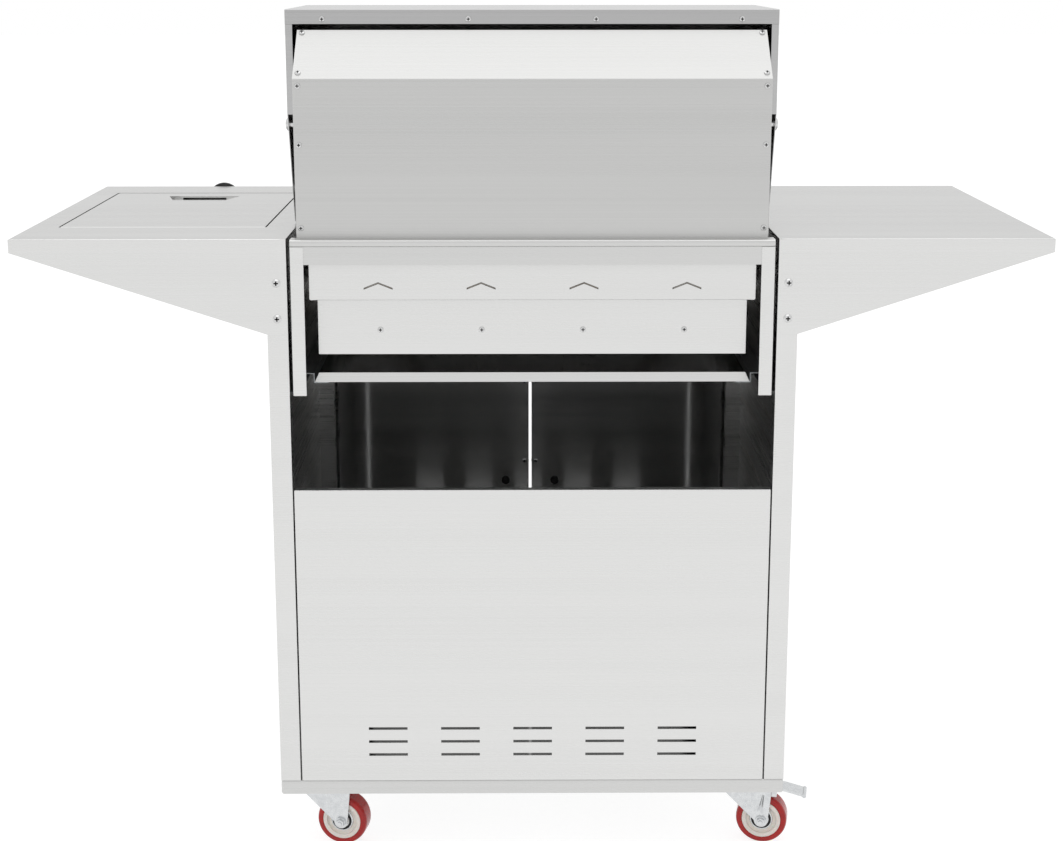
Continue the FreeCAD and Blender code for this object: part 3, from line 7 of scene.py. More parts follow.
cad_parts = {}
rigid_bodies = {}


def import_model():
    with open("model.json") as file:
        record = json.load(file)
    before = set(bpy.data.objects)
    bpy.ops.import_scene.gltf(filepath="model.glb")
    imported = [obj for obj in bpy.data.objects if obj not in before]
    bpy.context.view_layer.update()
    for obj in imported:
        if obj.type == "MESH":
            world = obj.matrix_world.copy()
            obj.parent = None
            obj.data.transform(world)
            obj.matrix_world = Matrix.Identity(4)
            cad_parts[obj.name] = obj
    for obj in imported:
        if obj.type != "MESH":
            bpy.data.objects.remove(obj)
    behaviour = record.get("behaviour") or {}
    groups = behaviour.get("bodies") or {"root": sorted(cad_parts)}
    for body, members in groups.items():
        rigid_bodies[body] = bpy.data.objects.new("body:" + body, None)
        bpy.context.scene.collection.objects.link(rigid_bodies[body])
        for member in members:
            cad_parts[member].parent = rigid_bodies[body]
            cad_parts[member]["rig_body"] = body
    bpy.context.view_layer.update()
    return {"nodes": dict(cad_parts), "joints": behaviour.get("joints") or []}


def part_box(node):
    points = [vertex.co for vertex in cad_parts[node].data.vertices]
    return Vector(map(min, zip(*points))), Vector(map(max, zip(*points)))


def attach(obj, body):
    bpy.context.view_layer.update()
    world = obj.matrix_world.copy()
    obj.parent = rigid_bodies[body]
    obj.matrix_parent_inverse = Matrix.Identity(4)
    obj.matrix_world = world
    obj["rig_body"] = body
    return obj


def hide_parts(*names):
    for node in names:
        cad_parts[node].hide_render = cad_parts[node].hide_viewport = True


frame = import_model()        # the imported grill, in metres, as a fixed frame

MM = 0.001
UP = Vector((0, 0, 1))
REARWARD = Vector((0, 1, 0))
FORWARD = Vector((0, -1, 0))
RIGHTWARD = Vector((1, 0, 0))
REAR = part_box("base_pan")[1].y / MM

# Edges and faces of the sheets, in millimetres and degrees
SHEET_EDGE = 0.35          # broken edge of a cut sheet
FOLD = 1.6                 # outer radius of a fold
WIDE_FOLD = 3.5            # outer radius of a fold on the base and the trim
BROAD = 1500               # least area of a face beside a fold, in square millimetres
MERGE = 0.01               # corners this close are one corner
LEVEL = 0.5                # faces that turn by less than this are one flat
SHARP = 30                 # edges that turn by more than this are sharp
SAME_WAY = 0.9             # normals with a larger product than this look the same way

# Places on the grill, in millimetres across, forward of the legs' rear face and above the floor
BURNERS_ACROSS = (-213.75, -71.25, 71.25, 213.75)
BURNER_HEIGHT = 777
BURNER_RADIUS = 16
SIDE_BURNER = (526.75, 300, 886)
BOLT_ACROSS = 351.5        # shelf bolts of each side
BOLT_HEIGHTS = (803, 853)
PANEL_SCREW_ACROSS = 318
DOOR_INSIDE = 597.8        # depth of the inner face of the doors' front sheets
DOOR_FRONT = 599
HANDLE_SCREW_ACROSS = 9.5
HANDLE_SCREW_HEIGHTS = (427, 570)
BUMPER_ACROSS = 43
BUMPER_HEIGHT = 391
HOOD_FOOT = 548            # depth of the hood's front at its lower edge
HOOD_LOW = 917             # height of that edge
HOOD_LEAN = math.radians(8)
HOOD_NORMAL = Vector((0, -math.cos(HOOD_LEAN), math.sin(HOOD_LEAN)))
HANDLE_HEIGHT = 985
HANDLE_POST_ACROSS = 235
GAUGE_HEIGHT = 1035
GAUGE_STEPS = 40
GAUGE_SWEEP = 270          # degrees from the first mark of the dial to the last
GAUGE_PRINT = 7.5          # height of the print and the needle's root above the hood
CORNERS = ("front_left", "front_right", "rear_left", "rear_right")


def metres(*sizes):
    """Sizes in millimetres as a place in metres."""
    return Vector(sizes) * MM


def at(across, depth, height):
    """A place by its millimetres across, forward of the legs' rear face and above the floor."""
    return metres(across, REAR - depth, height)


# Modelling

def pick(piece):
    """Make one object the only selected and active one."""
    bpy.ops.object.select_all(action="DESELECT")
    piece.select_set(True)
    bpy.context.view_layer.objects.active = piece


def apply_modifier(piece, kind, **settings):
    """Add a modifier with its settings and apply it."""
    pick(piece)
    modifier = piece.modifiers.new(kind.title(), kind)
    for name, value in settings.items():
        setattr(modifier, name, value)
    bpy.ops.object.modifier_apply(modifier=modifier.name)


def unwrap(piece):
    """Flat maps in metres, with U along the brushed grain: along X, or along Y on the side faces."""
    pick(piece)
    bpy.ops.object.mode_set(mode="EDIT")
    bpy.ops.mesh.select_all(action="SELECT")
    bpy.ops.uv.cube_project(cube_size=1.0, clip_to_bounds=False, scale_to_bounds=False)
    bpy.ops.object.mode_set(mode="OBJECT")


def is_fold(first, second):
    """Whether two faces are broad and meet in an outward fold."""
    if min(first.area, second.area) < BROAD * MM * MM or first.normal.dot(second.normal) > SAME_WAY:
        return False
    return (second.center - first.center).dot(first.normal) < 0


def soften_folds(piece, radius):
    """Round the outer folds of a sheet over a radius in millimetres."""
    pick(piece)
    bpy.ops.object.mode_set(mode="EDIT")
    bpy.ops.mesh.select_mode(type="EDGE")
    bpy.ops.mesh.select_all(action="DESELECT")
    bpy.ops.object.mode_set(mode="OBJECT")
    beside = {}
    for face in piece.data.polygons:
        for key in face.edge_keys:
            beside.setdefault(key, []).append(face)
    for edge in piece.data.edges:
        faces = beside[edge.key]
        edge.select = len(faces) == 2 and is_fold(*faces)
    bpy.ops.object.mode_set(mode="EDIT")
    bpy.ops.mesh.bevel(offset=radius * MM, segments=4, affect="EDGES", clamp_overlap=True)
    bpy.ops.mesh.select_mode(type="VERT")
    bpy.ops.object.mode_set(mode="OBJECT")


def break_edges(piece, edge, steps=2, sharp=SHARP):
    """Round the sharp edges over a width in millimetres, and keep the flats flat beside them."""
    if edge:
        apply_modifier(
            piece, "BEVEL", width=edge * MM, segments=steps, limit_method="ANGLE",
            angle_limit=math.radians(sharp), use_clamp_overlap=True, face_strength_mode="FSTR_ALL")
    pick(piece)
    bpy.ops.object.shade_smooth_by_angle(angle=math.radians(SHARP))
    apply_modifier(piece, "WEIGHTED_NORMAL", weight=100, keep_sharp=True, use_face_influence=bool(edge))


def wear(piece, finish, body):
    """Give a piece its finish, unless it has its own, and its body."""
    if finish:
        piece.data.materials.clear()
        piece.data.materials.append(finish)
    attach(piece, body)
    return piece


def refinish(piece, finish, wanted):
    """Give the faces that are wanted, by their centre and normal, another finish."""
    piece.data.materials.append(finish)
    for face in piece.data.polygons:
        if wanted(face.center, face.normal):
            face.material_index = len(piece.data.materials) - 1


def looks_up(centre, normal):
    """Whether a face looks up."""
    return normal.z > SAME_WAY


def looks_back(centre, normal):
    """Whether a face looks to the rear."""
    return normal.y > SAME_WAY


def dress(name, finish, edge=SHEET_EDGE, steps=2, sharp=SHARP, fold=0):
    """A copy of a node with its edges broken, in its finish, that stands for the node."""
    node = frame["nodes"][name]
    piece = bpy.data.objects.new(name + "_finished", node.data.copy())
    bpy.context.collection.objects.link(piece)
    pick(piece)
    bpy.ops.object.mode_set(mode="EDIT")
    bpy.ops.mesh.select_all(action="SELECT")
    bpy.ops.mesh.remove_doubles(threshold=MERGE * MM)
    bpy.ops.mesh.dissolve_limited(angle_limit=math.radians(LEVEL))
    bpy.ops.mesh.select_mode(type="FACE")
    bpy.ops.mesh.select_face_by_sides(number=4, type="GREATER", extend=False)
    bpy.ops.mesh.quads_convert_to_tris(quad_method="BEAUTY", ngon_method="BEAUTY")
    bpy.ops.mesh.select_mode(type="VERT")
    bpy.ops.object.mode_set(mode="OBJECT")
    if fold:
        soften_folds(piece, fold)
    break_edges(piece, edge, steps, sharp)
    unwrap(piece)
    wear(piece, finish, node["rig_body"])
    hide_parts(name)
    return piece


def turned(name, rings, sides):
    """A turned solid about Z from rings of radius and height in millimetres, foot first."""
    bpy.ops.object.select_all(action="DESELECT")
    radius, height = rings[0]
    bpy.ops.mesh.primitive_circle_add(
        vertices=sides, radius=radius * MM, fill_type="NGON", location=(0, 0, height * MM))
    piece = bpy.context.object
    piece.name = name
    bpy.ops.object.transform_apply(location=True, rotation=True, scale=True)
    bpy.ops.object.mode_set(mode="EDIT")
    bpy.ops.mesh.select_all(action="SELECT")
    for wider, higher in rings[1:]:
        bpy.ops.mesh.extrude_region_move(
            TRANSFORM_OT_translate={"value": (0, 0, (higher - height) * MM)})
        share = wider / radius
        bpy.ops.transform.resize(value=(share, share, 1), center_override=(0, 0, higher * MM))
        radius, height = wider, higher
    bpy.ops.mesh.select_all(action="SELECT")
    bpy.ops.mesh.normals_make_consistent(inside=False)
    bpy.ops.object.mode_set(mode="OBJECT")
    return piece


def block(name, size, place):
    """A block of a size about a place, both in millimetres."""
    bpy.ops.object.select_all(action="DESELECT")
    bpy.ops.mesh.primitive_cube_add(size=1, location=metres(*place), scale=metres(*size))
    piece = bpy.context.object
    piece.name = name
    bpy.ops.object.transform_apply(location=True, rotation=True, scale=True)
    return piece


def carve(piece, tool):
    """Cut the room of a tool out of a piece."""
    apply_modifier(piece, "BOOLEAN", object=tool, operation="DIFFERENCE", solver="EXACT")
    bpy.data.objects.remove(tool)


def gather(name, pieces):
    """Join pieces into one."""
    pick(pieces[0])
    for piece in pieces:
        piece.select_set(True)
    bpy.ops.object.join()
    pieces[0].name = name
    return pieces[0]


def ring_of(model, count):
    """A ring of copies of a model about Z, joined into one piece."""
    copies = [model]
    for step in range(1, count):
        mesh = model.data.copy()
        mesh.transform(Matrix.Rotation(step * math.tau / count, 4, "Z"))
        copy = bpy.data.objects.new(model.name, mesh)
        bpy.context.collection.objects.link(copy)
        copies.append(copy)
    return gather(model.name, copies)


def set_out(model, name, places, finish, body):
    """Copies of a model, each with its own mesh, stood at places along directions."""
    pieces = []
    for number, (place, direction) in enumerate(places, start=1):
        mesh = model.data.copy()
        turn = direction.to_track_quat("Z", "Y").to_matrix().to_4x4()
        mesh.transform(Matrix.Translation(place) @ turn)
        piece = bpy.data.objects.new(f"{name}_{number}", mesh)
        bpy.context.collection.objects.link(piece)
        pieces.append(wear(piece, finish, body))
    bpy.data.objects.remove(model)
    return pieces


# Finishes

def linear(code):
    """An sRGB hex colour as linear values."""
    shares = [int(code[step:step + 2], 16) / 255 for step in (1, 3, 5)]
    values = [share / 12.92 if share <= 0.04045 else ((share + 0.055) / 1.055) ** 2.4 for share in shares]
    return (*values, 1)


def add(tree, kind, settings, links):
    """A shader node with its settings, by attribute or socket, and its links from other sockets."""
    node = tree.nodes.new("ShaderNode" + kind)
    for name, value in settings.items():
        if isinstance(name, int) or name in node.inputs:
            node.inputs[name].default_value = value
        else:
            setattr(node, name, value)
    for name, source in links.items():
        tree.links.new(source, node.inputs[name])
    return node


def new_finish(name, settings):
    """A material with plain settings on its shader's own sockets."""
    finish = bpy.data.materials.new(name)
    finish.use_nodes = True
    shader = finish.node_tree.nodes["Principled BSDF"]
    for socket, value in settings.items():
        shader.inputs[socket].default_value = value
    return finish, finish.node_tree, shader


def grain(tree, length, width, detail):
    """Streaks of a length along U and a width across it, in millimetres, from 0 to 1."""
    place = add(tree, "TexCoord", {}, {})
    stretch = (1 / (length * MM), 1 / (width * MM), 1)
    mapping = add(tree, "Mapping", {"Scale": stretch}, {"Vector": place.outputs["UV"]})
    streaks = add(tree, "TexNoise", {"noise_dimensions": "2D", "Scale": 1, "Detail": detail},
                  {"Vector": mapping.outputs[0]})
    return streaks.outputs["Fac"]


def clouds(tree, size):
    """Soft patches of a size in millimetres, from 0 to 1."""
    place = add(tree, "TexCoord", {}, {})
    patches = add(tree, "TexNoise", {"Scale": 1 / (size * MM), "Detail": 5},
                  {"Vector": place.outputs["Object"]})
    return patches.outputs["Fac"]


def between(tree, share, low, high):
    """A share from its middle range spread between two values."""
    spread = add(tree, "MapRange", {"From Min": 0.3, "From Max": 0.7, "To Min": low, "To Max": high},
                 {"Value": share})
    return spread.outputs[0]


def shades(tree, share, dark, light):
    """A colour between two hex colours by a share."""
    mix = add(tree, "Mix", {"data_type": "RGBA", 6: linear(dark), 7: linear(light)},
              {0: between(tree, share, 0, 1)})
    return mix.outputs[2]


def relief(tree, share, height):
    """A bump of a height in millimetres."""
    bump = add(tree, "Bump", {"Distance": height * MM, "Strength": 1}, {"Height": share})
    return bump.outputs[0]


def brushed_sheet(name, dark, light, smooth, rough, stretch, line):
    """Stainless sheet with brush lines of a width: reflections stay sharp along them and smear across."""
    finish, tree, shader = new_finish(name, {
        "Metallic": 1, "Anisotropic": stretch, "Anisotropic Rotation": 0.25})
    # Real brush lines are about 0.1 mm wide. They are drawn coarser here so that they show.
    streaks = grain(tree, 1500, line, 2)
    smears = grain(tree, 1900, 60, 1)
    tone = add(tree, "Math", {"operation": "MULTIPLY_ADD", 1: 0.7}, {0: streaks})
    tree.links.new(between(tree, smears, 0, 0.3), tone.inputs[2])
    # The lines lie level on every face: along X, or along Y where a face looks sideways.
    tangent = add(tree, "CombineXYZ", {"X": 1, "Y": 0.02}, {})
    tree.links.new(shades(tree, tone.outputs[0], dark, light), shader.inputs["Base Color"])
    tree.links.new(between(tree, tone.outputs[0], smooth, rough), shader.inputs["Roughness"])
    tree.links.new(relief(tree, streaks, 0.004), shader.inputs["Normal"])
    tree.links.new(tangent.outputs[0], shader.inputs["Tangent"])
    return finish


def mottled(name, dark, light, smooth, rough, patch, height, settings):
    """A finish with patches of tone and gloss of a size, and a relief of a height, in millimetres."""
    finish, tree, shader = new_finish(name, settings)
    patches = clouds(tree, patch)
    tree.links.new(shades(tree, patches, dark, light), shader.inputs["Base Color"])
    tree.links.new(between(tree, patches, smooth, rough), shader.inputs["Roughness"])
    tree.links.new(relief(tree, patches, height), shader.inputs["Normal"])
    return finish


def plain_metal(name, dark, light, smooth, rough, patch, height):
    """A metal with patches of tone and gloss."""
    return mottled(name, dark, light, smooth, rough, patch, height, {"Metallic": 1})


# Satin stainless steel, number 4 finish: pale, with fine level lines and soft reflections.
satin_stainless = brushed_sheet("satin_stainless", "#D7D7D6", "#DDDDDC", 0.24, 0.32, 0.6, 0.6)
# Stainless sheet with coarser brush lines, in a greyer tone than the satin sheet: the greyer tone is
# painted shade on the head's rear panel.
shaded_hairline_stainless = brushed_sheet("shaded_hairline_stainless", "#C0C0BF", "#C8C8C7", 0.26, 0.34, 0.7, 0.8)
# The same satin sheet a little darker on the shelves' tops: painted shade that tones down the faces lit
# from above.
shaded_top_stainless = brushed_sheet("shaded_top_stainless", "#C8C8C7", "#CECECD", 0.26, 0.34, 0.6, 0.6)
# The same sheet a little greyer on the narrow folded pieces: painted shade.
shaded_satin_stainless = brushed_sheet("shaded_satin_stainless", "#CBCBCA", "#D1D1D0", 0.25, 0.33, 0.6, 0.6)
# Bright-rolled stainless steel on the hood: nearly a mirror, with faint rolling lines.
rolled_stainless = brushed_sheet("rolled_stainless", "#AFAFAF", "#B7B7B7", 0.15, 0.21, 0.5, 1.2)
# A darker and smoother copy of the stainless sheet, in the drip tray and on the cut edges round the side
# burner's lid: the darker tone is painted shade under the burners and in the gap round the lid.
shaded_smooth_stainless = brushed_sheet("shaded_smooth_stainless", "#8C8C8C", "#969695", 0.16, 0.2, 1, 1.2)
# Smooth stainless steel inside the doors, with faint level lines that smear upwards, in a greyer tone that
# is painted shade inside the cabinet.
shaded_annealed_stainless = brushed_sheet("shaded_annealed_stainless", "#BEBEBE", "#C6C6C5", 0.1, 0.14, 1, 1.2)
# The same sheet on the floor of the cabinet, dark and nearly a mirror: the dark tone is painted shade
# inside the cabinet.
shaded_floor_stainless = brushed_sheet("shaded_floor_stainless", "#787878", "#80807F", 0.06, 0.09, 1, 1.2)
# Stainless rod, drawn and tumbled: an even satin.
drawn_rod = plain_metal("drawn_rod", "#9C9B99", "#B0AFAD", 0.22, 0.34, 12, 0.01)
# Burner steel that has been hot: straw and brown tints over a dull sheet.
heated_steel = plain_metal("heated_steel", "#8D8275", "#A9A59F", 0.3, 0.45, 45, 0.02)
# Galvanised steel: cold grey with a faint spangle.
galvanised_steel = plain_metal("galvanised_steel", "#A3A8AB", "#B9BDBF", 0.32, 0.5, 9, 0.01)
# Bright zinc plate on pressed steel: pale and silky, with a slight cloudiness.
zinc_plate = plain_metal("zinc_plate", "#C9CBCD", "#DADCDD", 0.2, 0.32, 7, 0.01)
# Polished stainless steel on bars and screws: a clean mirror with faint polishing haze.
polished_stainless = plain_metal("polished_stainless", "#C8C8C8", "#D2D2D2", 0.08, 0.16, 30, 0.002)
# Die-cast aluminium of the valves: grainy and dull.
cast_aluminium = plain_metal("cast_aluminium", "#9C9D9F", "#B4B5B6", 0.38, 0.52, 2.5, 0.05)
# Machined brass of the side burner, a little dulled by heat.
dulled_brass = plain_metal("dulled_brass", "#94743C", "#BE9A55", 0.25, 0.4, 14, 0.02)
# Cast iron under matt black enamel: a fine orange-peel skin.
enamelled_iron = mottled("enamelled_iron", "#131313", "#1F1F1F", 0.42, 0.6, 1.8, 0.06, {"IOR": 1.5})
# Black phenolic knob: dense and satin, with the faintest moulding ripple.
black_phenolic = mottled("black_phenolic", "#0E0E0F", "#171718", 0.28, 0.4, 5, 0.02, {"IOR": 1.6})
# Cream polypropylene hub: slightly waxy.
cream_polypropylene = mottled(
    "cream_polypropylene", "#F3EAE1", "#FAF4ED", 0.32, 0.45, 6, 0.02,
    {"IOR": 1.49, "Subsurface Weight": 0.08, "Subsurface Scale": 0.002})
# Red polyurethane tread: glossy as moulded, with dull scuffs where it rolls.
red_polyurethane = mottled("red_polyurethane", "#A81513", "#BE1F1B", 0.12, 0.26, 11, 0.03, {"IOR": 1.45})
# Black nitrile rubber of the door bumpers: matt, with a dusty bloom.
black_rubber = mottled("black_rubber", "#0B0B0B", "#151515", 0.6, 0.8, 3, 0.03, {"IOR": 1.52})
# White stove enamel of the dial: smooth, with the slightest unevenness.
dial_enamel = mottled("dial_enamel", "#ECEAE4", "#F3F1EC", 0.25, 0.35, 9, 0.01, {"IOR": 1.52})
# White paint filled into the knobs' lines.
white_enamel = mottled("white_enamel", "#DEDDD8", "#EDECE8", 0.35, 0.5, 2, 0.02, {"IOR": 1.5})
# Black screen print on the dial: thin and flat.
black_print = mottled("black_print", "#101010", "#1A1A1A", 0.45, 0.6, 1, 0.005, {"IOR": 1.5})
# Red lacquer of the needle: glossy.
red_lacquer = mottled("red_lacquer", "#A5160F", "#B92018", 0.2, 0.3, 4, 0.005, {"IOR": 1.5})
# Painted shade in hollows, black and dull: on the floors and walls of the screws' crosses, and on the thin
# discs and slots that stand for the open flame ports.
painted_hollow_shade = mottled("painted_hollow_shade", "#080706", "#14110E", 0.8, 0.95, 1.5, 0.03, {"IOR": 1.45})
# Soda-lime glass over the dial: clear, with a trace of haze.
clear_glass = mottled("clear_glass", "#F8FAF9", "#FFFFFF", 0.02, 0.05, 40, 0.001,
                      {"IOR": 1.52, "Transmission Weight": 1})


# The sheets and castings of the frame in their finishes

def in_gap(centre, normal):
    """Whether a place is on an edge of the burner shelf that looks at its lid across the gap."""
    low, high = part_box("side_burner_lid")
    reach = 6 * MM
    inside = all(low[way] - reach < centre[way] < high[way] + reach for way in (0, 1))
    return inside and abs(normal.z) < 0.5


SATIN_SHEETS = [
    "cart_sides", "cart_rear_panel", "side_burner_bowl", "head_sides", "firebox_rear", "control_panel",
]
for name in SATIN_SHEETS:
    dress(name, satin_stainless, fold=FOLD)
# The base and the trim are in the greyer copy of the satin sheet: painted shade.
for name in ("base_pan", "head_trim"):
    dress(name, shaded_satin_stainless, fold=WIDE_FOLD)
# The base's faces that look up, on the cabinet's floor, get the dark copy: painted shade.
refinish(bpy.data.objects["base_pan_finished"], shaded_floor_stainless, looks_up)
# The drip tray is in the greyer copy, and its faces that look up in the darker one: painted shade under
# the burners.
refinish(dress("drip_tray", shaded_satin_stainless), shaded_smooth_stainless, looks_up)
# The faces of the shelves and the lid that look up get the darker copy: painted shade.
for name in ("plain_shelf", "burner_shelf", "side_burner_lid"):
    refinish(dress(name, satin_stainless, fold=FOLD), shaded_top_stainless, looks_up)
# The shelf's edges that look at the lid across the gap get the darker copy: painted shade in the gap.
refinish(bpy.data.objects["burner_shelf_finished"], shaded_smooth_stainless, in_gap)
# The head's rear panel is in the greyer copy of the sheet: painted shade.
dress("head_rear_panel", shaded_hairline_stainless, fold=FOLD)
for name in ("hood_skin", "hood_ends"):
    dress(name, rolled_stainless, fold=FOLD)
# The doors' faces that look to the rear, inside the cabinet, get the greyer copy: painted shade.
for name in ("door_left", "door_right"):
    refinish(dress(name, satin_stainless, fold=FOLD), shaded_annealed_stainless, looks_back)
for name in ("firebox_walls", "flame_tamers", "main_burners"):
    dress(name, heated_steel)
for name in ("cooking_grates", "warming_rack"):
    dress(name, drawn_rod, 0)
for name in ("cart_rails", "tray_runners", "gas_manifold"):
    dress(name, galvanised_steel)
for name in ("hinge_pins", "knob_bezels", "hood_gauge"):
    dress(name, polished_stainless, 0.3)
for name in ("hood_handle", "door_handle_left", "door_handle_right"):
    dress(name, polished_stainless, 1.5, 4, 60)
dress("gas_valves", cast_aluminium, 1.2, 3)
dress("side_burner_head", dulled_brass, 1, 3)
dress("side_burner_grate", enamelled_iron, 0.8, 3)
dress("caster_plates", zinc_plate, 0.4)
for step in range(1, 5):
    dress(f"valve_rotor_{step}", cast_aluminium, 0.3)
dress("side_valve_rotor", cast_aluminium, 0.3)
for corner in CORNERS:
    dress(f"caster_fork_{corner}", zinc_plate, 0.8, 3)
    dress(f"wheel_hub_{corner}", cream_polypropylene, 0.8, 3)
    dress(f"wheel_tread_{corner}", red_polyurethane, 1.8, 4, 20)
for corner in ("front_left", "rear_left"):
    dress(f"brake_pedal_{corner}", zinc_plate, 0.8, 3)


# Screws and bolts

def cross_recess(piece, centre, reach, slot, depth):
    """Cut a cross into the end of a screw that stands along Z."""
    for size in ((reach, slot, 2 * depth), (slot, reach, 2 * depth)):
        carve(piece, block("cross", size, centre))


def pan_screw():
    """A pan-head screw, standing on the origin."""
    screw = turned("pan_screw", [(4.2, 0), (4.2, 0.8), (3.8, 1.6), (2.8, 2.2), (1.3, 2.5)], 24)
    cross_recess(screw, (0, 0, 2.5), 4.6, 1.3, 1.9)
    break_edges(screw, 0)
    screw.data.materials.append(polished_stainless)
    # The floor and walls of the cross are black: painted shade in the recess.
    refinish(screw, painted_hollow_shade, lambda centre, normal: Vector(centre.xy).length < 2.4 * MM and centre.z < 2 * MM)
    return screw


def head_screws():
    """Screws of the rear panel, of its slanted top and of the firebox wall."""
    wall_depth = 50
    panel_depth = 20
    panel_heights = (926, 1040, 1119.8)
    slant_places = ((28.7, 1136.8), (85.8, 1188.3))    # depth and height on the slanted top
    slant = math.radians(48)
    slanted = Vector((0, math.cos(slant), math.sin(slant)))
    places = [(at(across, wall_depth, BURNER_HEIGHT), REARWARD) for across in BURNERS_ACROSS]
    for across in (-PANEL_SCREW_ACROSS, PANEL_SCREW_ACROSS):
        places += [(at(across, panel_depth, height), REARWARD) for height in panel_heights]
        places += [(at(across, depth, height), slanted) for depth, height in slant_places]
    set_out(pan_screw(), "head_screw", places, None, "cart")


def band_screws():
    """Screws along the rear band of the hood."""
    band_depth = 95
    band_height = 1206.6
    places = [(at(across, band_depth, band_height), REARWARD) for across in (-291, -88.5, 88.5, 291)]
    set_out(pan_screw(), "band_screw", places, None, "hood")


def in_cross(centre, low, high):
    """Whether a place is in the cross of a shelf bolt, below the face of its head."""
    from_axis = min(math.hypot(abs(centre.x) - BOLT_ACROSS * MM, centre.z - height * MM)
                    for height in BOLT_HEIGHTS)
    below = min(high.y - centre.y, centre.y - low.y)
    return from_axis < 3.3 * MM and 1 * MM < below < 2.6 * MM


def cut_shelf_bolts():
    """The bolts of the shelves with a cross in each head."""
    reach = 6.4
    width = 1.9
    depth = 5
    bolts = dress("shelf_bolts", polished_stainless, 0.3)
    low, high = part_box("shelf_bolts")
    for size in ((reach, depth, width), (width, depth, reach)):
        bars = []
        for across in (-BOLT_ACROSS, BOLT_ACROSS):
            for height in BOLT_HEIGHTS:
                for end in (low.y / MM, high.y / MM):
                    bars.append(block("bar", size, (across, end, height)))
        carve(bolts, gather("bars", bars))
    # The cross in each bolt's head is black: painted shade in the recess.
    refinish(bolts, painted_hollow_shade, lambda centre, normal: in_cross(centre, low, high))


# Doors

def door_fittings():
    """Handle screws and rubber bumpers inside the doors, and collars under the handles' posts."""
    for side, door in ((-1, "door_left"), (1, "door_right")):
        across = side * HANDLE_SCREW_ACROSS
        inside = [(at(across, DOOR_INSIDE, height), REARWARD) for height in HANDLE_SCREW_HEIGHTS]
        set_out(pan_screw(), door + "_screw", inside, None, door)
        bumper = turned("bumper", [(7, 0), (7, 2.6), (6.2, 3.8), (3.6, 4.4)], 24)
        break_edges(bumper, 0)
        place = at(side * BUMPER_ACROSS, DOOR_INSIDE, BUMPER_HEIGHT)
        set_out(bumper, door + "_bumper", [(place, REARWARD)], black_rubber, door)
        collar = turned("collar", [(7.5, 0), (7.5, 1.2), (6.6, 2.2), (4.2, 2.2)], 28)
        break_edges(collar, 0)
        outside = [(at(across, DOOR_FRONT, height), FORWARD) for height in HANDLE_SCREW_HEIGHTS]
        set_out(collar, door + "_collar", outside, polished_stainless, door)


# Hood

def front_of_hood(height):
    """Depth of the hood's leaning front at a height."""
    return HOOD_FOOT - (height - HOOD_LOW) * math.tan(HOOD_LEAN)


def hood_fittings():
    """Collars under the handle's posts, and domed caps on the hinge pins."""
    collar = turned("collar", [(14, 0), (14, 1.6), (12.4, 3.2), (9.4, 3.2)], 36)
    break_edges(collar, 0)
    depth = front_of_hood(HANDLE_HEIGHT)
    places = [(at(side * HANDLE_POST_ACROSS, depth, HANDLE_HEIGHT), HOOD_NORMAL) for side in (-1, 1)]
    set_out(collar, "handle_collar", places, polished_stainless, "hood")
    cap = turned("cap", [(9.5, 0.3), (9.5, 1.4), (8.6, 2.8), (6.4, 4.2), (3.4, 5), (1.2, 5.2)], 28)
    break_edges(cap, 0)
    cap_foot = 342.5
    pin_depth = 115
    pin_height = 1060
    places = [(at(side * cap_foot, pin_depth, pin_height), side * RIGHTWARD) for side in (-1, 1)]
    set_out(cap, "hood_pivot_cap", places, polished_stainless, "cart")


def gauge_place():
    """The gauge's middle on the hood, and its axis."""
    return at(0, front_of_hood(GAUGE_HEIGHT), GAUGE_HEIGHT)


def on_gauge(model, name, finish):
    """Stand a piece that is modelled about the gauge's own axis on the hood, upright."""
    tilt = Matrix.Rotation(math.radians(90) - HOOD_LEAN, 4, "X")
    model.data.transform(Matrix.Translation(gauge_place()) @ tilt)
    model.name = name
    return wear(model, finish, "hood")


def gauge_ticks():
    """Marks round the dial, every fifth one longer."""
    rim = 24.6
    thickness = 0.15
    marks = []
    for step in range(GAUGE_STEPS + 1):
        width, length = (0.9, 3.6) if step % 5 == 0 else (0.5, 2)
        mark = block("mark", (width, length, thickness), (0, rim - length / 2, GAUGE_PRINT))
        turn = math.radians(GAUGE_SWEEP / 2 - GAUGE_SWEEP * step / GAUGE_STEPS)
        mark.data.transform(Matrix.Rotation(turn, 4, "Z"))
        marks.append(mark)
    return gather("gauge_ticks", marks)


def gauge_numbers():
    """Degrees round the dial, in hundreds."""
    radius = 16.5
    labels = (0, 100, 200, 300, 400)
    numbers = []
    for step, degrees in enumerate(labels):
        turn = math.radians(90 + GAUGE_SWEEP / 2 - GAUGE_SWEEP * step / (len(labels) - 1))
        words = bpy.data.curves.new("number", "FONT")
        words.body = str(degrees)
        words.size = 5 * MM
        words.align_x = "CENTER"
        words.align_y = "CENTER"
        words.extrude = 0.05 * MM
        number = bpy.data.objects.new("number", words)
        bpy.context.collection.objects.link(number)
        pick(number)
        bpy.ops.object.convert(target="MESH")
        number = bpy.context.object
        place = metres(radius * math.cos(turn), radius * math.sin(turn), GAUGE_PRINT)
        number.data.transform(Matrix.Translation(place))
        numbers.append(number)
    return gather("gauge_numbers", numbers)


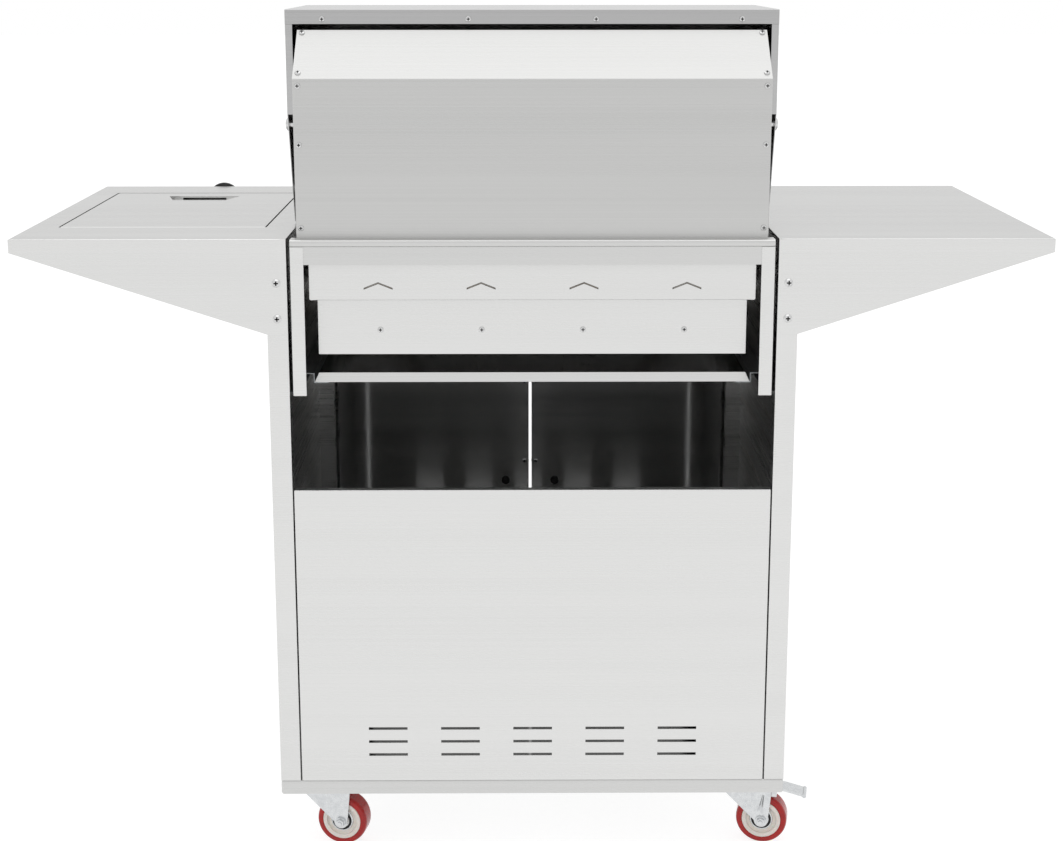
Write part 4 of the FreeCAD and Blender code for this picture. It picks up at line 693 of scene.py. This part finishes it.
def gauge():
    """Dial, marks, needle and glass of the temperature gauge."""
    face = turned("face", [(26.8, 7.1), (26.8, 7.4)], 64)
    on_gauge(face, "gauge_face", dial_enamel)
    on_gauge(gauge_ticks(), "gauge_ticks", black_print)
    on_gauge(gauge_numbers(), "gauge_numbers", black_print)
    needle = block("needle", (1.1, 25, 0.3), (0, 7.5, 7.85))
    near_tip = 19 * MM
    pick(needle)
    bpy.ops.object.mode_set(mode="EDIT")
    bpy.ops.mesh.select_all(action="DESELECT")
    bpy.ops.object.mode_set(mode="OBJECT")
    for corner in needle.data.vertices:
        corner.select = corner.co.y > near_tip
    bpy.ops.object.mode_set(mode="EDIT")
    bpy.ops.transform.resize(value=(0.25, 1, 1), center_override=(0, 0, 0))
    bpy.ops.object.mode_set(mode="OBJECT")
    needle.data.transform(Matrix.Rotation(math.radians(GAUGE_SWEEP / 2), 4, "Z"))
    on_gauge(needle, "gauge_needle", red_lacquer)
    hub = turned("hub", [(2.6, 7.4), (2.6, 8.1), (1.8, 8.4)], 24)
    on_gauge(hub, "gauge_needle_hub", black_print)
    glass = turned("glass", [(26.9, 8.45), (26.9, 8.75), (25.6, 8.95)], 64)
    break_edges(glass, 0)
    on_gauge(glass, "gauge_glass", clear_glass)


# Knobs

def knobs():
    """Knobs with a white line let into the grip."""
    width = 2.2
    length = 13
    rise = 10.5
    for name in ("knob_1", "knob_2", "knob_3", "knob_4", "side_burner_knob"):
        knob = dress(name, black_phenolic, 1.6, 4)
        low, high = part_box(name)
        front = low.y / MM
        middle = (low + high) / 2 / MM
        height = middle.z + rise
        carve(knob, block("groove", (width, 1.4, length), (middle.x, front, height)))
        inlay = block(name + "_line", (width, 0.5, length), (middle.x, front + 0.4, height))
        break_edges(inlay, 0.08)
        wear(inlay, white_enamel, frame["nodes"][name]["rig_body"])


# Burners

def burner_ports():
    """Rows of flame ports along both sides of the burners."""
    ports = 42
    pitch = 10
    first_depth = 75
    lean = math.radians(50)
    # Each port is a thin black disc on the burner: painted shade in place of the open hole.
    port = turned("port", [(1.2, 0), (1.2, 0.1)], 8)
    places = []
    for across in BURNERS_ACROSS:
        for side in (-1, 1):
            outward = Vector((side * math.sin(lean), 0, math.cos(lean)))
            places.append((at(across, first_depth, BURNER_HEIGHT) + outward * BURNER_RADIUS * MM, outward))
    for row in set_out(port, "burner_ports", places, painted_hollow_shade, "cart"):
        apply_modifier(row, "ARRAY", count=ports, use_relative_offset=False, use_constant_offset=True,
                       constant_offset_displace=metres(0, -pitch, 0))


def side_burner_ports():
    """Slots round the side burner's head."""
    count = 30
    head_radius = 45
    # Each slot is a thin black block on the head: painted shade in place of the open slot.
    slots = ring_of(block("side_burner_ports", (0.3, 2.2, 5), (head_radius, 0, 5)), count)
    slots.data.transform(Matrix.Translation(at(*SIDE_BURNER)))
    wear(slots, painted_hollow_shade, "cart")


# Casters

def hex_nut(name, across_corners, height, stud):
    """A hexagon nut with the end of its bolt, standing on the origin."""
    radius = across_corners / 2
    nut = turned(name, [(radius, 0), (radius, height - 0.6), (radius * 0.88, height)], 6)
    end = turned("stud", [(stud, height - 0.4), (stud, height + 1.2), (stud * 0.8, height + 1.8)], 20)
    nut = gather(name, [nut, end])
    break_edges(nut, 0.25)
    return nut


def caster_fittings():
    """Bolts of the caster plates, axle nuts and the dust covers of the wheels' bearings."""
    plate_thickness = 2.5
    bolt_across = 27
    bolt_along = 23
    fork_face = 22.5           # from the wheel's middle
    hub_face = 11
    joints = {joint["name"]: joint for joint in frame["joints"]}
    plate_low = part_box("base_pan")[0].z / MM - plate_thickness
    for corner in CORNERS:
        swivel = Vector(joints["swivel_" + corner]["pos_m"]) / MM
        places = []
        for across in (-bolt_across, bolt_across):
            for along in (-bolt_along, bolt_along):
                places.append((metres(swivel.x + across, swivel.y + along, plate_low), -UP))
        set_out(hex_nut("bolt", 11, 2.6, 2.4), "plate_bolt_" + corner, places, zinc_plate, "cart")
        centre = Vector(joints["roll_" + corner]["pos_m"])
        axis = Vector(joints["roll_" + corner]["axis"]).normalized()
        ends = [(centre + side * axis * fork_face * MM, side * axis) for side in (-1, 1)]
        set_out(hex_nut("nut", 13, 3.6, 3.4), "axle_nut_" + corner, ends, zinc_plate,
                "fork_" + corner)
        cover = turned("cover", [
            (17, 0), (17, 1.6), (16.2, 2.4), (15, 2.4),
            (14.6, 0.6), (11.6, 0.6), (11.2, 2.6), (9.6, 2.6)], 40)
        break_edges(cover, 0)
        faces = [(centre + side * axis * hub_face * MM, side * axis) for side in (-1, 1)]
        set_out(cover, "bearing_cover_" + corner, faces, zinc_plate, "wheel_" + corner)
        seal = turned("seal", [(14.5, 0.5), (14.5, 0.9)], 40)
        break_edges(seal, 0)
        set_out(seal, "bearing_seal_" + corner, faces, black_rubber, "wheel_" + corner)


head_screws()
band_screws()
cut_shelf_bolts()
door_fittings()
hood_fittings()
gauge()
knobs()
burner_ports()
side_burner_ports()
caster_fittings()


# Floor, light and camera

def floor():
    """A pale floor that stays white to the eye and keeps the shadow of the grill."""
    bpy.ops.object.select_all(action="DESELECT")
    bpy.ops.mesh.primitive_plane_add(size=60, location=(0, 0, 0))
    piece = bpy.context.object
    piece.name = "floor"
    finish, tree, shader = new_finish("pale_floor", {"Roughness": 0.9, "Emission Color": (1, 1, 1, 1)})
    path = add(tree, "LightPath", {}, {})
    seen = add(tree, "Math", {"operation": "MAXIMUM"},
               {0: path.outputs["Is Camera Ray"], 1: path.outputs["Is Glossy Ray"]})
    tone = add(tree, "Mix", {"data_type": "RGBA", 6: linear("#F3F3F3"), 7: linear("#8F8F8F")},
               {0: seen.outputs[0]})
    glow = add(tree, "Math", {"operation": "MULTIPLY", 1: 0.85}, {0: seen.outputs[0]})
    tree.links.new(tone.outputs[2], shader.inputs["Base Color"])
    tree.links.new(glow.outputs[0], shader.inputs["Emission Strength"])
    piece.data.materials.append(finish)


def world():
    """White all round to the eye, a little less near the ground in reflections and on matt surfaces."""
    room = bpy.data.worlds.new("studio")
    room.use_nodes = True
    tree = room.node_tree
    path = add(tree, "LightPath", {}, {})
    seen = add(tree, "Math", {"operation": "MAXIMUM"},
               {0: path.outputs["Is Camera Ray"], 1: path.outputs["Is Transmission Ray"]})
    place = add(tree, "TexCoord", {}, {})
    direction = add(tree, "SeparateXYZ", {}, {0: place.outputs["Generated"]})
    sky = add(tree, "MapRange", {"From Max": 0.6, "To Min": 0.9, "To Max": 1},
              {"Value": direction.outputs["Z"]})
    matt = add(tree, "Mix", {2: 0.75}, {0: path.outputs["Is Glossy Ray"], 3: sky.outputs[0]})
    level = add(tree, "Mix", {3: 1.0}, {0: seen.outputs[0], 2: matt.outputs[0]})
    tree.links.new(level.outputs[0], tree.nodes["Background"].inputs["Strength"])
    tree.nodes["Background"].inputs["Color"].default_value = (1, 1, 1, 1)
    bpy.context.scene.world = room


def overhead_lamp():
    """One large soft lamp above the grill."""
    lamp = bpy.data.lights.new("overhead", "AREA")
    lamp.size = 3
    lamp.energy = 17.5
    lamp_object = bpy.data.objects.new("overhead", lamp)
    lamp_object.location = (0, 0.2, 3.4)
    bpy.context.collection.objects.link(lamp_object)


def camera():
    """The photograph's view of the back of the grill."""
    look_down = 0.203          # in radians
    look_aside = 0.007
    lens = bpy.data.cameras.new("view")
    lens.lens = 58.69
    lens.sensor_width = 36
    lens.shift_y = -0.0927
    eye = bpy.data.objects.new("view", lens)
    eye.location = (0.018, 2.66285, 1.2796)
    eye.rotation_euler = (math.radians(90) - look_down, 0, math.pi - look_aside)
    bpy.context.collection.objects.link(eye)
    bpy.context.scene.camera = eye


floor()
world()
overhead_lamp()
camera()
bpy.context.scene.view_settings.view_transform = "Standard"
